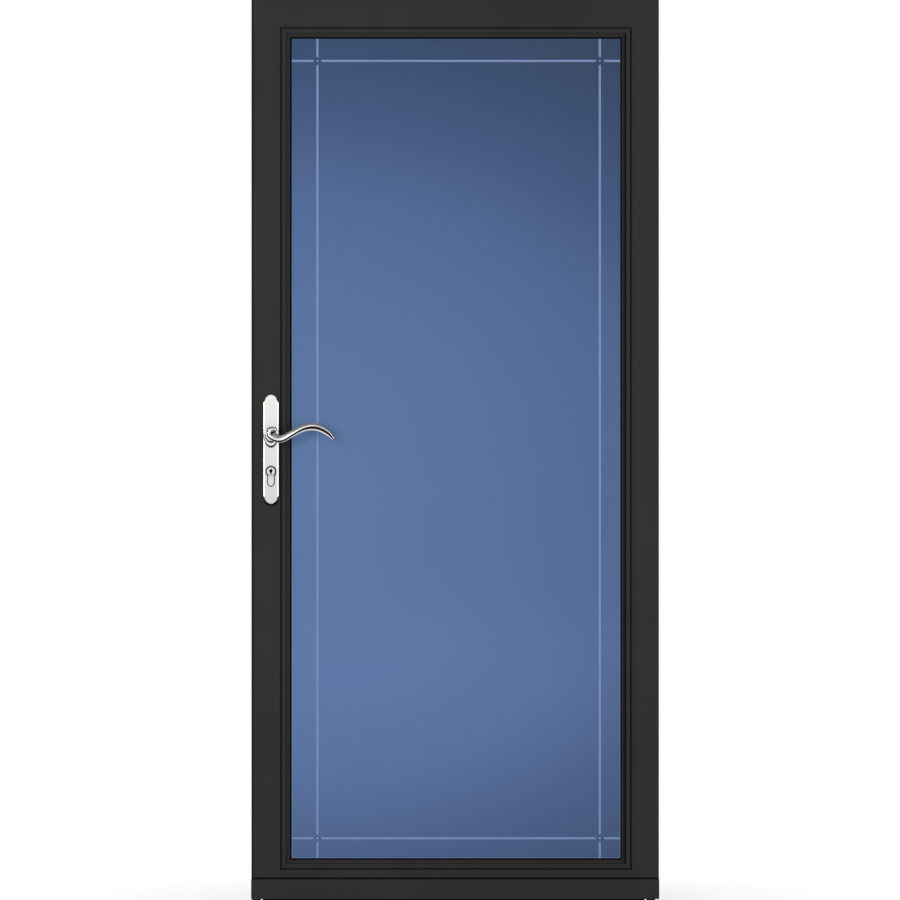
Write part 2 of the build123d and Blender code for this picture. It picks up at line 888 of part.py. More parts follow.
# The lever's centre line, from the scroll's end to the tip: place right of and above the
# hub, height of the section across the line and its depth in and out of the door.
lever_stations = [
    (12.8, 7.4, 7.5, 8.0),
    (6.6, 9.0, 9.0, 9.0),
    (-1.4, 4.8, 9.5, 10.0),
    (-0.6, -2.4, 10.0, 11.0),
    (7.2, -9.4, 12.0, 12.0),
    (17.5, -13.2, 15.5, 12.0),
    (28.0, -12.0, 16.5, 12.0),
    (41.0, -6.2, 16.0, 12.0),
    (54.0, 1.2, 15.5, 12.0),
    (66.0, 7.6, 16.0, 11.5),
    (79.0, 12.6, 17.5, 11.0),
    (95.0, 14.8, 18.5, 10.5),
    (109.0, 12.4, 17.0, 10.0),
    (122.0, 6.2, 14.5, 9.0),
    (134.5, -3.4, 11.0, 7.5),
    (143.0, -14.4, 5.0, 5.0),
]
lever_sides = 8


def lever_section(across, deep):
    # Eight flats inside an ellipse, one of them facing straight out.
    step = 2 * math.pi / lever_sides
    turns = [step * (i + 0.5) for i in range(lever_sides)]
    return face_of(*[(deep / 2 * math.cos(t), across / 2 * math.sin(t)) for t in turns])


def lever_places(path):
    # The stations and the points halfway between them: place on the path and size there.
    stations = [(path.param_at_point((x, 0, z)), across, deep) for x, z, across, deep in lever_stations]
    halfway = [[(a + b) / 2 for a, b in zip(*pair)] for pair in zip(stations, stations[1:])]
    return sorted([list(station) for station in stations] + halfway)


def lever_bar():
    path = Spline(*[(x, 0, z) for x, z, across, deep in lever_stations])
    sections = []
    for place, across, deep in lever_places(path):
        plane = Plane(path.position_at(place), x_dir=(0, 1, 0), z_dir=path.tangent_at(place))
        sections.append(plane * lever_section(across, deep))
    return loft(sections, ruled=True)


def outside_lever():
    proud = front - plate_thickness - rose_height
    bar_y = proud - lever_plane
    lever = Pos(hub_x, bar_y, hub_height) * lever_bar()
    neck = through_door(Circle(neck_radius), hub_x, hub_height, bar_y, proud + neck_seat)
    return lever + neck


def inside_lever():
    return mirror(outside_lever(), about=Plane((0, middle, 0), z_dir=(0, 1, 0)))


def lever_spindle():
    low = front - plate_thickness - rose_height + neck_seat
    high = 2 * middle - low
    return box_between(
        (hub_x - spindle_side / 2, low, hub_height - spindle_side / 2),
        (hub_x + spindle_side / 2, high, hub_height + spindle_side / 2),
    )


nodes = {
    "hinge_rail": hinge_rail,
    "latch_rail": latch_rail,
    "header_rail": header_rail,
    "hinge_rail_pile": hinge_rail_pile,
    "latch_rail_pile": latch_rail_pile,
    "header_pile": header_pile,
    "strike_plate": strike_plate,
    "hinge_fixed_leaf": hinge_fixed_leaf,
    "hinge_moving_leaf": hinge_moving_leaf,
    "hinge_pin": hinge_pin,
    "latch_stile": latch_stile,
    "hinge_stile": hinge_stile,
    "top_rail": top_rail,
    "bottom_rail": bottom_rail,
    "glass_pane": glass_pane,
    "outer_gasket": outer_gasket,
    "inner_gasket": inner_gasket,
    "bottom_expander": bottom_expander,
    "expander_seal": expander_seal,
    "bottom_sweep": bottom_sweep,
    "lock_case": lock_case,
    "lock_faceplate": lock_faceplate,
    "latch_bolt": latch_bolt,
    "deadbolt": deadbolt,
    "outside_plate": outside_plate,
    "inside_plate": inside_plate,
    "key_cylinder": key_cylinder,
    "key_plug": key_plug,
    "thumb_turn": thumb_turn,
    "outside_lever": outside_lever,
    "inside_lever": inside_lever,
    "lever_spindle": lever_spindle,
}

os.makedirs("parts", exist_ok=True)
for name, make in nodes.items():
    export_step(tidy(make()), f"parts/{name}.step")
for side in ("left", "right", "top", "bottom"):
    export_step(tidy(front_moulding(side)), f"parts/front_moulding_{side}.step")
    export_step(tidy(inside_retainer(side)), f"parts/inside_retainer_{side}.step")
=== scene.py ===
import json
import math

import bpy
import numpy as np
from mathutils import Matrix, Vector


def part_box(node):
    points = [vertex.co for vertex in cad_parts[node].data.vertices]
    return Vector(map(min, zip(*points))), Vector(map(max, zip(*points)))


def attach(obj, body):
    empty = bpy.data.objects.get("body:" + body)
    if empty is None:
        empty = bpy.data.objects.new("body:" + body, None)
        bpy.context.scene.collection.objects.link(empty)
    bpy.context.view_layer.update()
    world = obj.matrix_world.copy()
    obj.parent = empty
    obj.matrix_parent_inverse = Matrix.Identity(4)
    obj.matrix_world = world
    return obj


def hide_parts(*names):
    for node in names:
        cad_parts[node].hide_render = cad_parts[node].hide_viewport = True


# Aluminium storm door: black powder-coated frame and leaf, blue glass with ground lines,
# nickel lever lock. Metres, +Z up. Seen from outside +X is right and +Y goes indoors.

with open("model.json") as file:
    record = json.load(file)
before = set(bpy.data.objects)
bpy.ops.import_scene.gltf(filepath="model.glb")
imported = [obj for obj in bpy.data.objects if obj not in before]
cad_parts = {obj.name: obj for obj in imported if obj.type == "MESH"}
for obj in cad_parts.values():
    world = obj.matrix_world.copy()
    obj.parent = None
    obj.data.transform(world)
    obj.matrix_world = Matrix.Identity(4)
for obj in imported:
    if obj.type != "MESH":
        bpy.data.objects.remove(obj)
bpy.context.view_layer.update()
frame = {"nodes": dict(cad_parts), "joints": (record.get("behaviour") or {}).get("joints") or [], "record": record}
mm = 0.001
print("frame loaded:", len(frame["nodes"]), "nodes")


def jointPlace(name):
    return np.array(next(j["pos_m"] for j in frame["joints"] if j["name"] == name))


leafLow = np.array(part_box("latch_stile")[0])  # outer face, latch edge and foot of the leaf
faceY = leafLow[1]
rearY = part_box("latch_stile")[1][1]
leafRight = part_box("top_rail")[1][0]
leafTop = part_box("top_rail")[1][2]
hub = jointPlace("lever_turn")
middleY = hub[1]


# camera: straight on, level with the middle of the picture, at the photograph's crop
camera = {
    "standoff": 12.0,
    "pictureWidth": 2.0195,  # what the picture spans at the door's face
    "fromLatchEdge": 0.4456,
    "height": 1.0195,
    "sensor": 36.0,
}
cameraData = bpy.data.cameras.new("camera")
cameraData.sensor_width = camera["sensor"]
cameraData.lens = camera["sensor"] * camera["standoff"] / camera["pictureWidth"]
viewer = bpy.data.objects.new("camera", cameraData)
bpy.context.scene.collection.objects.link(viewer)
viewer.location = (leafLow[0] + camera["fromLatchEdge"], faceY - camera["standoff"], camera["height"])
viewer.rotation_euler = (math.radians(90), 0, 0)
bpy.context.scene.camera = viewer
bpy.context.scene.view_settings.view_transform = "Standard"


def linearColor(code):
    # sRGB hex to linear: below the toe it is a straight line, above it a power of 2.4
    values = [int(code[i:i + 2], 16) / 255 for i in (1, 3, 5)]
    return (*[v / 12.92 if v <= 0.04045 else ((v + 0.055) / 1.055) ** 2.4 for v in values], 1.0)


def addNode(tree, kind, inputs=None, **settings):
    # an input that is another node's socket is linked, anything else is set as a value
    node = tree.nodes.new(kind)
    for key, value in settings.items():
        setattr(node, key, value)
    for key, value in (inputs or {}).items():
        if isinstance(value, bpy.types.NodeSocket):
            tree.links.new(value, node.inputs[key])
        else:
            node.inputs[key].default_value = value
    return node


def newMaterial(name):
    material = bpy.data.materials.new(name)
    material.use_nodes = True
    tree = material.node_tree
    tree.nodes.clear()
    output = addNode(tree, "ShaderNodeOutputMaterial")
    return material, tree, output


def fillRamp(ramp, stops, interpolation="LINEAR"):
    # stops are (place, colour) from low to high
    elements = ramp.color_ramp.elements
    ramp.color_ramp.interpolation = interpolation
    while len(elements) < len(stops):
        elements.new(0.5)
    for element, (place, color) in zip(elements, stops):
        element.position = place
        element.color = linearColor(color) if isinstance(color, str) else (color, color, color, 1)


def seenDirectly(tree):
    # 1 for what the camera, a mirror surface or glass looks at, 0 for what only lights
    path = addNode(tree, "ShaderNodeLightPath")
    either = addNode(tree, "ShaderNodeMath", {0: path.outputs["Is Camera Ray"],
                     1: path.outputs["Is Glossy Ray"]}, operation="MAXIMUM")
    every = addNode(tree, "ShaderNodeMath", {0: either.outputs[0],
                    1: path.outputs["Is Transmission Ray"]}, operation="MAXIMUM")
    return every.outputs[0]


# studio: white all round the object, darker only on the open side behind the camera,
# with three soft lamps and a pale floor
studio = {
    "surroundLight": 0.42,
    "surroundColor": "#F4F6FA",
    "openSide": 0.50,  # how bright the side behind the camera looks in metal and glass
    "lamps": {
        "keyLamp": {"place": (-3.3, -7.0, 2.1), "size": 3.2, "watts": 320.0},
        "fillLamp": {"place": (2.4, -6.0, 0.7), "size": 3.0, "watts": 170.0},
        "roomLamp": {"place": (0.6, 5.4, 3.4), "size": 2.6, "watts": 260.0},
    },
    "floorSize": 40.0,
    "floorColor": "#F0F0EE",
    "floorShadowShare": 0.35,
    "floorShadowFade": (0.4, 1.0),  # metres from the middle of the sill over which the shadow fades out
}


def makeWorld(k):
    world = bpy.data.worlds.new("studio")
    bpy.context.scene.world = world
    world.use_nodes = True
    tree = world.node_tree
    tree.nodes.clear()
    way = addNode(tree, "ShaderNodeTexCoord").outputs["Generated"]
    parts = addNode(tree, "ShaderNodeSeparateXYZ", {"Vector": way})
    side = addNode(tree, "ShaderNodeMapRange", {"Value": parts.outputs["Y"], "From Min": -0.85,
                   "From Max": 0.15, "To Min": k["openSide"], "To Max": 1.0},
                   interpolation_type="SMOOTHSTEP")
    path = addNode(tree, "ShaderNodeLightPath")
    plain = addNode(tree, "ShaderNodeMath", {0: path.outputs["Is Camera Ray"],
                    1: path.outputs["Is Transmission Ray"]}, operation="MAXIMUM")
    strength = addNode(tree, "ShaderNodeMath", {0: side.outputs["Result"], 1: plain.outputs[0]},
                       operation="MAXIMUM")
    light = addNode(tree, "ShaderNodeBackground", {"Color": linearColor(k["surroundColor"]),
                    "Strength": k["surroundLight"]})
    white = addNode(tree, "ShaderNodeBackground", {"Color": (1, 1, 1, 1), "Strength": strength.outputs[0]})
    mixed = addNode(tree, "ShaderNodeMixShader", {0: seenDirectly(tree), 1: light.outputs[0],
                    2: white.outputs[0]})
    addNode(tree, "ShaderNodeOutputWorld", {"Surface": mixed.outputs[0]})


def makeFloor(k):
    half = k["floorSize"] / 2
    mesh = bpy.data.meshes.new("studioFloor")
    mesh.from_pydata([(-half, -half, 0), (half, -half, 0), (half, half, 0), (-half, half, 0)], [],
                     [(0, 1, 2, 3)])
    floor = bpy.data.objects.new("studioFloor", mesh)
    bpy.context.scene.collection.objects.link(floor)
    material, tree, output = newMaterial("paleStudioFloor")
    lit = addNode(tree, "ShaderNodeBsdfDiffuse", {"Color": linearColor(k["floorColor"])})
    glow = addNode(tree, "ShaderNodeEmission", {"Color": (1, 1, 1, 1), "Strength": 1.0})
    place = addNode(tree, "ShaderNodeTexCoord").outputs["Object"]
    fromSill = addNode(tree, "ShaderNodeVectorMath", {0: place, 1: (hub[0] / 2, 0, 0)},
                       operation="DISTANCE")
    near = addNode(tree, "ShaderNodeMapRange", {"Value": fromSill.outputs["Value"],
                   "From Min": k["floorShadowFade"][0], "From Max": k["floorShadowFade"][1],
                   "To Min": 1 - k["floorShadowShare"], "To Max": 1.0}, interpolation_type="SMOOTHSTEP")
    share = addNode(tree, "ShaderNodeMath", {0: seenDirectly(tree), 1: near.outputs["Result"]},
                    operation="MULTIPLY")
    mixed = addNode(tree, "ShaderNodeMixShader", {0: share.outputs[0], 1: lit.outputs[0],
                    2: glow.outputs[0]})
    tree.links.new(mixed.outputs[0], output.inputs["Surface"])
    mesh.materials.append(material)


def makeLamps(k):
    aim = Vector((hub[0] / 2, faceY, 1.05))
    for name, lamp in k["lamps"].items():
        data = bpy.data.lights.new(name, "AREA")
        data.shape = "DISK"
        data.size = lamp["size"]
        data.energy = lamp["watts"]
        piece = bpy.data.objects.new(name, data)
        bpy.context.scene.collection.objects.link(piece)
        piece.location = lamp["place"]
        piece.rotation_euler = (aim - piece.location).to_track_quat("-Z", "Y").to_euler()


makeWorld(studio)
makeFloor(studio)
makeLamps(studio)
print("studio made")


# Finishes. Object coordinates are metres, so a pattern of p millimetres has scale 1000 / p.
powderCoat = {
    "color": "#272726",
    "colorLow": "#232322",
    "roughness": 0.50,
    "specular": 0.06,
    "cornerSize": 7.0,  # mm from a corner within which painted shade darkens the paint
    "paintedCornerShade": 0.05,
    "latchSideShade": 0.15,  # painted shade: share of its colour that a face keeps when it turns to the latch side
    "cloudSize": 240.0,  # mm, slow drift in shade along a bar
    "peelSize": 1.6,  # mm, orange peel; really about 0.5, drawn coarser so that it shows
    "dieLine": (1.2, 420.0),  # mm across and along the drawing lines of the extrusion
}


def cornerShade(tree, size, tone):
    # painted shade: 1 in the open, falling to tone where other faces stand within size millimetres
    corner = addNode(tree, "ShaderNodeAmbientOcclusion", {"Distance": size * mm}, samples=6)
    return addNode(tree, "ShaderNodeMapRange", {"Value": corner.outputs["AO"], "From Min": 0.3,
                   "From Max": 0.9, "To Min": tone, "To Max": 1.0}).outputs["Result"]


def satinBlackPowderCoat(name, along, k):
    # baked polyester powder on extruded aluminium: soft sheen, faint orange peel, fainter drawing lines that run
    # the length of the bar, and painted shade that makes grooves and faces turned to the latch side nearly black
    material, tree, output = newMaterial(name)
    coords = addNode(tree, "ShaderNodeTexCoord")
    place = coords.outputs["Object"]
    cloud = addNode(tree, "ShaderNodeTexNoise", {"Vector": place, "Scale": 1000 / k["cloudSize"],
                    "Detail": 2.0})
    tone = addNode(tree, "ShaderNodeValToRGB", {"Fac": cloud.outputs["Fac"]})
    fillRamp(tone, [(0.3, k["colorLow"]), (0.7, k["color"])])
    stretch = [1000 / k["dieLine"][0]] * 3
    stretch[along] = 1000 / k["dieLine"][1]
    lined = addNode(tree, "ShaderNodeMapping", {"Vector": place, "Scale": stretch})
    lines = addNode(tree, "ShaderNodeTexNoise", {"Vector": lined.outputs["Vector"], "Scale": 1.0,
                    "Detail": 1.0})
    peel = addNode(tree, "ShaderNodeTexNoise", {"Vector": place, "Scale": 1000 / k["peelSize"],
                   "Detail": 1.0})
    relief = addNode(tree, "ShaderNodeMath", {0: lines.outputs["Fac"], 1: peel.outputs["Fac"]},
                     operation="ADD")
    bump = addNode(tree, "ShaderNodeBump", {"Height": relief.outputs[0], "Strength": 0.10,
                   "Distance": 0.0002})
    rough = addNode(tree, "ShaderNodeMapRange", {"Value": lines.outputs["Fac"],
                    "To Min": k["roughness"] - 0.04, "To Max": k["roughness"] + 0.04})
    # painted shade on faces that turn to the latch side
    lean = addNode(tree, "ShaderNodeSeparateXYZ", {"Vector": coords.outputs["Normal"]})
    turned = addNode(tree, "ShaderNodeMapRange", {"Value": lean.outputs["X"], "From Min": -0.45,
                     "From Max": -0.08, "To Min": k["latchSideShade"], "To Max": 1.0})
    shade = addNode(tree, "ShaderNodeMath", {0: turned.outputs["Result"],
                    1: cornerShade(tree, k["cornerSize"], k["paintedCornerShade"])}, operation="MULTIPLY")
    color = addNode(tree, "ShaderNodeVectorMath", {0: tone.outputs["Color"], 3: shade.outputs[0]},
                    operation="SCALE")
    paint = addNode(tree, "ShaderNodeBsdfPrincipled", {"Base Color": color.outputs[0],
                    "Roughness": rough.outputs["Result"], "Specular IOR Level": k["specular"],
                    "Normal": bump.outputs["Normal"]})
    tree.links.new(paint.outputs[0], output.inputs["Surface"])
    return material


gasketLip = 9.5  # mm of the outer gasket that lie behind the moulding
glassPane = {
    "paintedReflectionHeart": (-0.80, 0.92),  # x and z of the lightest place of the painted reflection
    "reach": (1.25, 1.0),  # the shade spreads this much further sideways
    "span": 1.17,  # metres from the heart to the last colour
    "shades": [(0.0, "#617EAA"), (0.36, "#5974A1"), (0.56, "#516A95"), (0.72, "#445981"), (0.855, "#3B4E70"),
               (1.0, "#364760")],
    "paintedHeadReflection": (1.0, 1.6, 1.08),  # painted reflection: height where the head of the pane starts and ends to lighten
    "groundColor": "#6C7FA6",
    "dotColor": "#B9C6E4",
    # painted highlight along the daylight edge, mm wide; its share goes from full to none over these heights from
    # the middle of the pane
    "paintedEdgeGlint": {"width": 2.4, "color": "#93A9CC", "share": 0.15, "span": (-0.9, 0.5)},
    "seeThrough": 0.03,
    "clearColor": "#A8C4F0",
    "specular": 0.25,
    "coat": 0.45,  # how much of the colour is the mirror sheen of its coating
    "faceRoughness": 0.10,
    "cutRoughness": 0.6,
}


def paintedEdgeGlintBand(tree, place, k):
    # painted highlight: 1 where |place - middle| > half on either axis, which is a band along the edge of the
    # daylight opening, times a share that grows towards the pane's foot
    low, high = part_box("outer_gasket")
    lip = gasketLip * mm
    middle = [(low[i] + high[i]) / 2 for i in range(3)]
    half = [(high[i] - low[i]) / 2 - lip - k["width"] * mm for i in range(3)]
    fromMiddle = addNode(tree, "ShaderNodeVectorMath", {0: place, 1: middle}, operation="SUBTRACT")
    parts = addNode(tree, "ShaderNodeSeparateXYZ", {"Vector": fromMiddle.outputs[0]})
    masks = []
    for axis, size in (("X", half[0]), ("Z", half[2])):
        away = addNode(tree, "ShaderNodeMath", {0: parts.outputs[axis]}, operation="ABSOLUTE")
        masks.append(addNode(tree, "ShaderNodeMath", {0: away.outputs[0], 1: size},
                             operation="GREATER_THAN").outputs[0])
    edge = addNode(tree, "ShaderNodeMath", {0: masks[0], 1: masks[1]}, operation="MAXIMUM")
    lower = addNode(tree, "ShaderNodeMapRange", {"Value": parts.outputs["Z"], "From Min": k["span"][0],
                    "From Max": k["span"][1], "To Min": k["share"], "To Max": 0.0})
    return addNode(tree, "ShaderNodeMath", {0: edge.outputs[0], 1: lower.outputs["Result"]},
                   operation="MULTIPLY").outputs[0]


def blueTemperedGlass(k):
    # 4 mm tempered float with a blue coat: glossy, nearly opaque, with frosted cuts; its colour holds a painted
    # reflection and a painted highlight along the lower daylight edge
    material, tree, output = newMaterial("blueTemperedGlass")
    coords = addNode(tree, "ShaderNodeTexCoord")
    # painted reflection: the blue is lightest at the heart, darkens outwards and lightens again at the head of the
    # pane
    fromHeart = addNode(tree, "ShaderNodeVectorMath", {0: coords.outputs["Object"],
                        1: (k["paintedReflectionHeart"][0], 0, k["paintedReflectionHeart"][1])}, operation="SUBTRACT")
    scaled = addNode(tree, "ShaderNodeVectorMath", {0: fromHeart.outputs[0],
                     1: (1 / k["reach"][0] / k["span"], 0, 1 / k["reach"][1] / k["span"])},
                     operation="MULTIPLY")
    far = addNode(tree, "ShaderNodeVectorMath", {0: scaled.outputs[0]}, operation="LENGTH")
    shade = addNode(tree, "ShaderNodeValToRGB", {"Fac": far.outputs["Value"]})
    fillRamp(shade, k["shades"])
    parts = addNode(tree, "ShaderNodeSeparateXYZ", {"Vector": coords.outputs["Object"]})
    dim = addNode(tree, "ShaderNodeMapRange", {"Value": parts.outputs["Z"], "From Min": k["paintedHeadReflection"][0],
                  "From Max": k["paintedHeadReflection"][1], "To Min": 1.0, "To Max": k["paintedHeadReflection"][2]})
    body = addNode(tree, "ShaderNodeVectorMath", {0: shade.outputs["Color"], 3: dim.outputs["Result"]},
                   operation="SCALE")
    # the ground cuts are the only places on the face that lean away from it, the lines along
    # one axis and the round dots along both
    lean = addNode(tree, "ShaderNodeSeparateXYZ", {"Vector": coords.outputs["Normal"]})
    facing = addNode(tree, "ShaderNodeMath", {0: lean.outputs["Y"]}, operation="ABSOLUTE")
    cut = addNode(tree, "ShaderNodeMath", {0: facing.outputs[0], 1: 0.98}, operation="LESS_THAN")
    product = addNode(tree, "ShaderNodeMath", {0: lean.outputs["X"], 1: lean.outputs["Z"]},
                      operation="MULTIPLY")
    slant = addNode(tree, "ShaderNodeMath", {0: product.outputs[0]}, operation="ABSOLUTE")
    dot = addNode(tree, "ShaderNodeMath", {0: slant.outputs[0], 1: 0.005}, operation="GREATER_THAN")
    ground = addNode(tree, "ShaderNodeMix", {"Factor": dot.outputs[0],
                     "A": linearColor(k["groundColor"]), "B": linearColor(k["dotColor"])},
                     data_type="RGBA")
    rim = paintedEdgeGlintBand(tree, coords.outputs["Object"], k["paintedEdgeGlint"])
    lit = addNode(tree, "ShaderNodeMix", {"Factor": rim, "A": body.outputs[0],
                  "B": linearColor(k["paintedEdgeGlint"]["color"])}, data_type="RGBA")
    color = addNode(tree, "ShaderNodeMix", {"Factor": cut.outputs[0], "A": lit.outputs["Result"],
                    "B": ground.outputs["Result"]}, data_type="RGBA")
    rough = addNode(tree, "ShaderNodeMapRange", {"Value": cut.outputs[0], "To Min": k["faceRoughness"],
                    "To Max": k["cutRoughness"]})
    coat = addNode(tree, "ShaderNodeMapRange", {"Value": cut.outputs[0], "To Min": k["coat"], "To Max": 0.0})
    glass = addNode(tree, "ShaderNodeBsdfPrincipled", {"Base Color": color.outputs["Result"],
                    "Metallic": coat.outputs["Result"], "Roughness": rough.outputs["Result"],
                    "Specular IOR Level": k["specular"]})
    clear = addNode(tree, "ShaderNodeBsdfTransparent", {"Color": linearColor(k["clearColor"])})
    pane = addNode(tree, "ShaderNodeMixShader", {0: k["seeThrough"], 1: glass.outputs[0],
                   2: clear.outputs[0]})
    tree.links.new(pane.outputs[0], output.inputs["Surface"])
    return material


def nickelFinish(name, k):
    # nickel plate on cast zinc, brushed along its length: streaky satin faces, a painted highlight on the edges,
    # painted shade on the sides, towards the foot, on faces that lean down and in the corners
    material, tree, output = newMaterial(name)
    coords = addNode(tree, "ShaderNodeTexCoord")
    place = coords.outputs["Object"]
    lined = addNode(tree, "ShaderNodeMapping", {"Vector": place,
                    "Scale": (1000 / k["grain"][0], 1000 / k["grain"][0], 1000 / k["grain"][1])})
    streak = addNode(tree, "ShaderNodeTexNoise", {"Vector": lined.outputs["Vector"], "Scale": 1.0,
                     "Detail": 3.0})
    rough = addNode(tree, "ShaderNodeMapRange", {"Value": streak.outputs["Fac"],
                    "To Min": k["roughness"] * 0.8, "To Max": k["roughness"] * 1.25})
    bump = addNode(tree, "ShaderNodeBump", {"Height": streak.outputs["Fac"], "Strength": 0.06,
                   "Distance": 0.0001})
    # painted light: where the piece has a painted light layer, its tone comes from that
    if "paintedLightLayer" in k:
        tone = addNode(tree, "ShaderNodeAttribute", attribute_name=k["paintedLightLayer"]).outputs["Fac"]
    else:
        # painted light: the face darkens towards the foot, a painted highlight runs along the edges, painted shade
        # lies on the sides
        fromHub = addNode(tree, "ShaderNodeVectorMath", {0: place, 1: tuple(hub)}, operation="SUBTRACT")
        aside = addNode(tree, "ShaderNodeSeparateXYZ", {"Vector": fromHub.outputs[0]})
        outer = addNode(tree, "ShaderNodeMath", {0: aside.outputs["X"]}, operation="ABSOLUTE")
        level = addNode(tree, "ShaderNodeMapRange", {"Value": aside.outputs["Z"], "From Min": -0.16,
                        "From Max": 0.09, "To Min": k["face"] * k["footShadeShare"], "To Max": k["face"]})
        tone = addNode(tree, "ShaderNodeMapRange", {"Value": outer.outputs[0],
                       "From Min": k["bandFrom"] * mm, "From Max": (k["bandFrom"] + 0.8) * mm,
                       "To Min": level.outputs["Result"], "To Max": k["edge"]}).outputs["Result"]
        side = addNode(tree, "ShaderNodeMapRange", {"Value": outer.outputs[0],
                       "From Min": k["sideFrom"] * mm, "From Max": (k["sideFrom"] + 0.3) * mm,
                       "To Min": 1.0, "To Max": k["paintedSideShade"]}).outputs["Result"]
        tone = addNode(tree, "ShaderNodeMath", {0: tone, 1: side}, operation="MULTIPLY").outputs[0]
    # painted shade on faces that lean down
    lean = addNode(tree, "ShaderNodeSeparateXYZ", {"Vector": coords.outputs["Normal"]})
    under = addNode(tree, "ShaderNodeMapRange", {"Value": lean.outputs["Z"], "From Min": -0.75,
                    "From Max": -0.2, "To Min": k["paintedUnderShade"], "To Max": 1.0})
    tone = addNode(tree, "ShaderNodeMath", {0: tone, 1: under.outputs["Result"]},
                   operation="MULTIPLY").outputs[0]
    # painted shade in the corners
    shade = addNode(tree, "ShaderNodeMath", {0: tone, 1: cornerShade(tree, k["cornerSize"],
                    k["paintedCornerShade"])}, operation="MULTIPLY")
    color = addNode(tree, "ShaderNodeVectorMath", {0: linearColor(k["color"])[:3],
                    3: shade.outputs[0]}, operation="SCALE")
    metal = addNode(tree, "ShaderNodeBsdfPrincipled", {"Base Color": color.outputs[0],
                    "Metallic": k["metallic"], "Roughness": rough.outputs["Result"],
                    "Normal": bump.outputs["Normal"]})
    tree.links.new(metal.outputs[0], output.inputs["Surface"])
    return material


def softVinyl(name, k):
    # extruded flexible vinyl: dead black, hardly any sheen, fine speckle
    material, tree, output = newMaterial(name)
    place = addNode(tree, "ShaderNodeTexCoord").outputs["Object"]
    speck = addNode(tree, "ShaderNodeTexNoise", {"Vector": place, "Scale": 1000 / k["speck"], "Detail": 2.0})
    tone = addNode(tree, "ShaderNodeValToRGB", {"Fac": speck.outputs["Fac"]})
    fillRamp(tone, [(0.35, k["color"]), (0.75, k["colorHigh"])])
    bump = addNode(tree, "ShaderNodeBump", {"Height": speck.outputs["Fac"], "Strength": 0.08,
                   "Distance": 0.0001})
    skin = addNode(tree, "ShaderNodeBsdfPrincipled", {"Base Color": tone.outputs["Color"],
                   "Roughness": k["roughness"], "Specular IOR Level": k["specular"],
                   "Normal": bump.outputs["Normal"]})
    tree.links.new(skin.outputs[0], output.inputs["Surface"])
    return material


uprightPaint = satinBlackPowderCoat("satinBlackPowderCoatUpright", 2, powderCoat)
levelPaint = satinBlackPowderCoat("satinBlackPowderCoatLevel", 0, powderCoat)
glassFinish = blueTemperedGlass(glassPane)
nickel = {
    "color": "#FAF9F4",
    "face": 0.475,  # shade of the face at the plate's head, and the share of that which painted shade leaves at the foot
    "footShadeShare": 0.80,
    "edge": 1.0,
    "bandFrom": 14.0,  # mm aside of the hub where the painted highlight on the edge starts, and the painted shade on the side
    "sideFrom": 16.9,
    "paintedSideShade": 0.08,
    "roughness": 0.40,
    "metallic": 0.5,
    "grain": (0.5, 30.0),  # mm across and along the brush marks
    "cornerSize": 6.0,
    "paintedCornerShade": 0.04,
    "paintedUnderShade": 0.10,  # painted shade: share of its shade that a face keeps when it leans down
}
nickelLever = {**nickel, "paintedLightLayer": "paintedLightTone", "roughness": 0.24, "metallic": 0.8,
               "grain": (0.7, 20.0), "cornerSize": 2.0, "paintedCornerShade": 0.2, "paintedUnderShade": 1.0}
steel = {**nickel, "color": "#D6D8DA", "face": 0.6, "footShadeShare": 1.0, "edge": 0.6, "bandFrom": 0,
         "sideFrom": 900.0, "roughness": 0.34, "metallic": 0.9, "grain": (0.8, 8.0), "cornerSize": 1.0,
         "paintedCornerShade": 0.4, "paintedUnderShade": 0.7}
vinyl = {"color": "#030303", "colorHigh": "#080809", "roughness": 0.7, "specular": 0.03, "speck": 0.9}
plateNickel = nickelFinish("brushedNickelPlate", nickel)
leverNickel = nickelFinish("polishedNickelLever", nickelLever)
boltZinc = nickelFinish("zincPlatedSteel", steel)
pinSteel = nickelFinish("drawnStainlessPin", {**steel, "face": 0.5, "edge": 0.5, "grain": (0.4, 40.0)})
gasketVinyl = softVinyl("blackGlazingVinyl", vinyl)

levelBars = {"header_rail", "top_rail", "bottom_rail", "bottom_expander"}
levelBars |= {f"{kind}_{side}" for kind in ("front_moulding", "inside_retainer")
              for side in ("top", "bottom")}
slotFinish = {
    "glazing": glassFinish,
    "gasket_vinyl": gasketVinyl,
    "weather_pile": gasketVinyl,
    "satin_nickel": plateNickel,
    "lock_steel": boltZinc,
    "pin_steel": pinSteel,
}
for part in frame["record"]["subparts"]:
    node = frame["nodes"][part["node"]]
    painted = levelPaint if part["node"] in levelBars else uprightPaint
    node.data.materials.clear()
    node.data.materials.append(slotFinish.get(part["material_slot"], painted))
print("finishes on", len(frame["nodes"]), "nodes")


def newPiece(name, points, faces, material, body, slot, smooth=True):
    mesh = bpy.data.meshes.new(name)
    mesh.from_pydata(np.asarray(points).tolist(), [], [list(f) for f in faces])
    mesh.polygons.foreach_set("use_smooth", np.full(len(mesh.polygons), smooth))
    mesh.materials.append(material)
    mesh.update()
    piece = bpy.data.objects.new(name, mesh)
    bpy.context.scene.collection.objects.link(piece)
    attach(piece, body)
    return piece


def placed(points, place, axis):
    # local (across, up, out) in mm to the frame: out goes along axis and up stays +Z
    out = np.array(axis, float)
    up = np.array((0.0, 0.0, 1.0))
    across = np.cross(up, out)
    return np.asarray(place) + mm * (points[:, 0:1] * across + points[:, 1:2] * up + points[:, 2:3] * out)


def gathered(shapes):
    # several (points, faces) as one
    counts = np.cumsum([0] + [len(points) for points, faces in shapes])
    every = np.vstack([points for points, faces in shapes])
    return every, [[i + first for i in f] for first, (points, faces) in zip(counts, shapes) for f in faces]


def mirrored(faces):
    return [face[::-1] for face in faces]


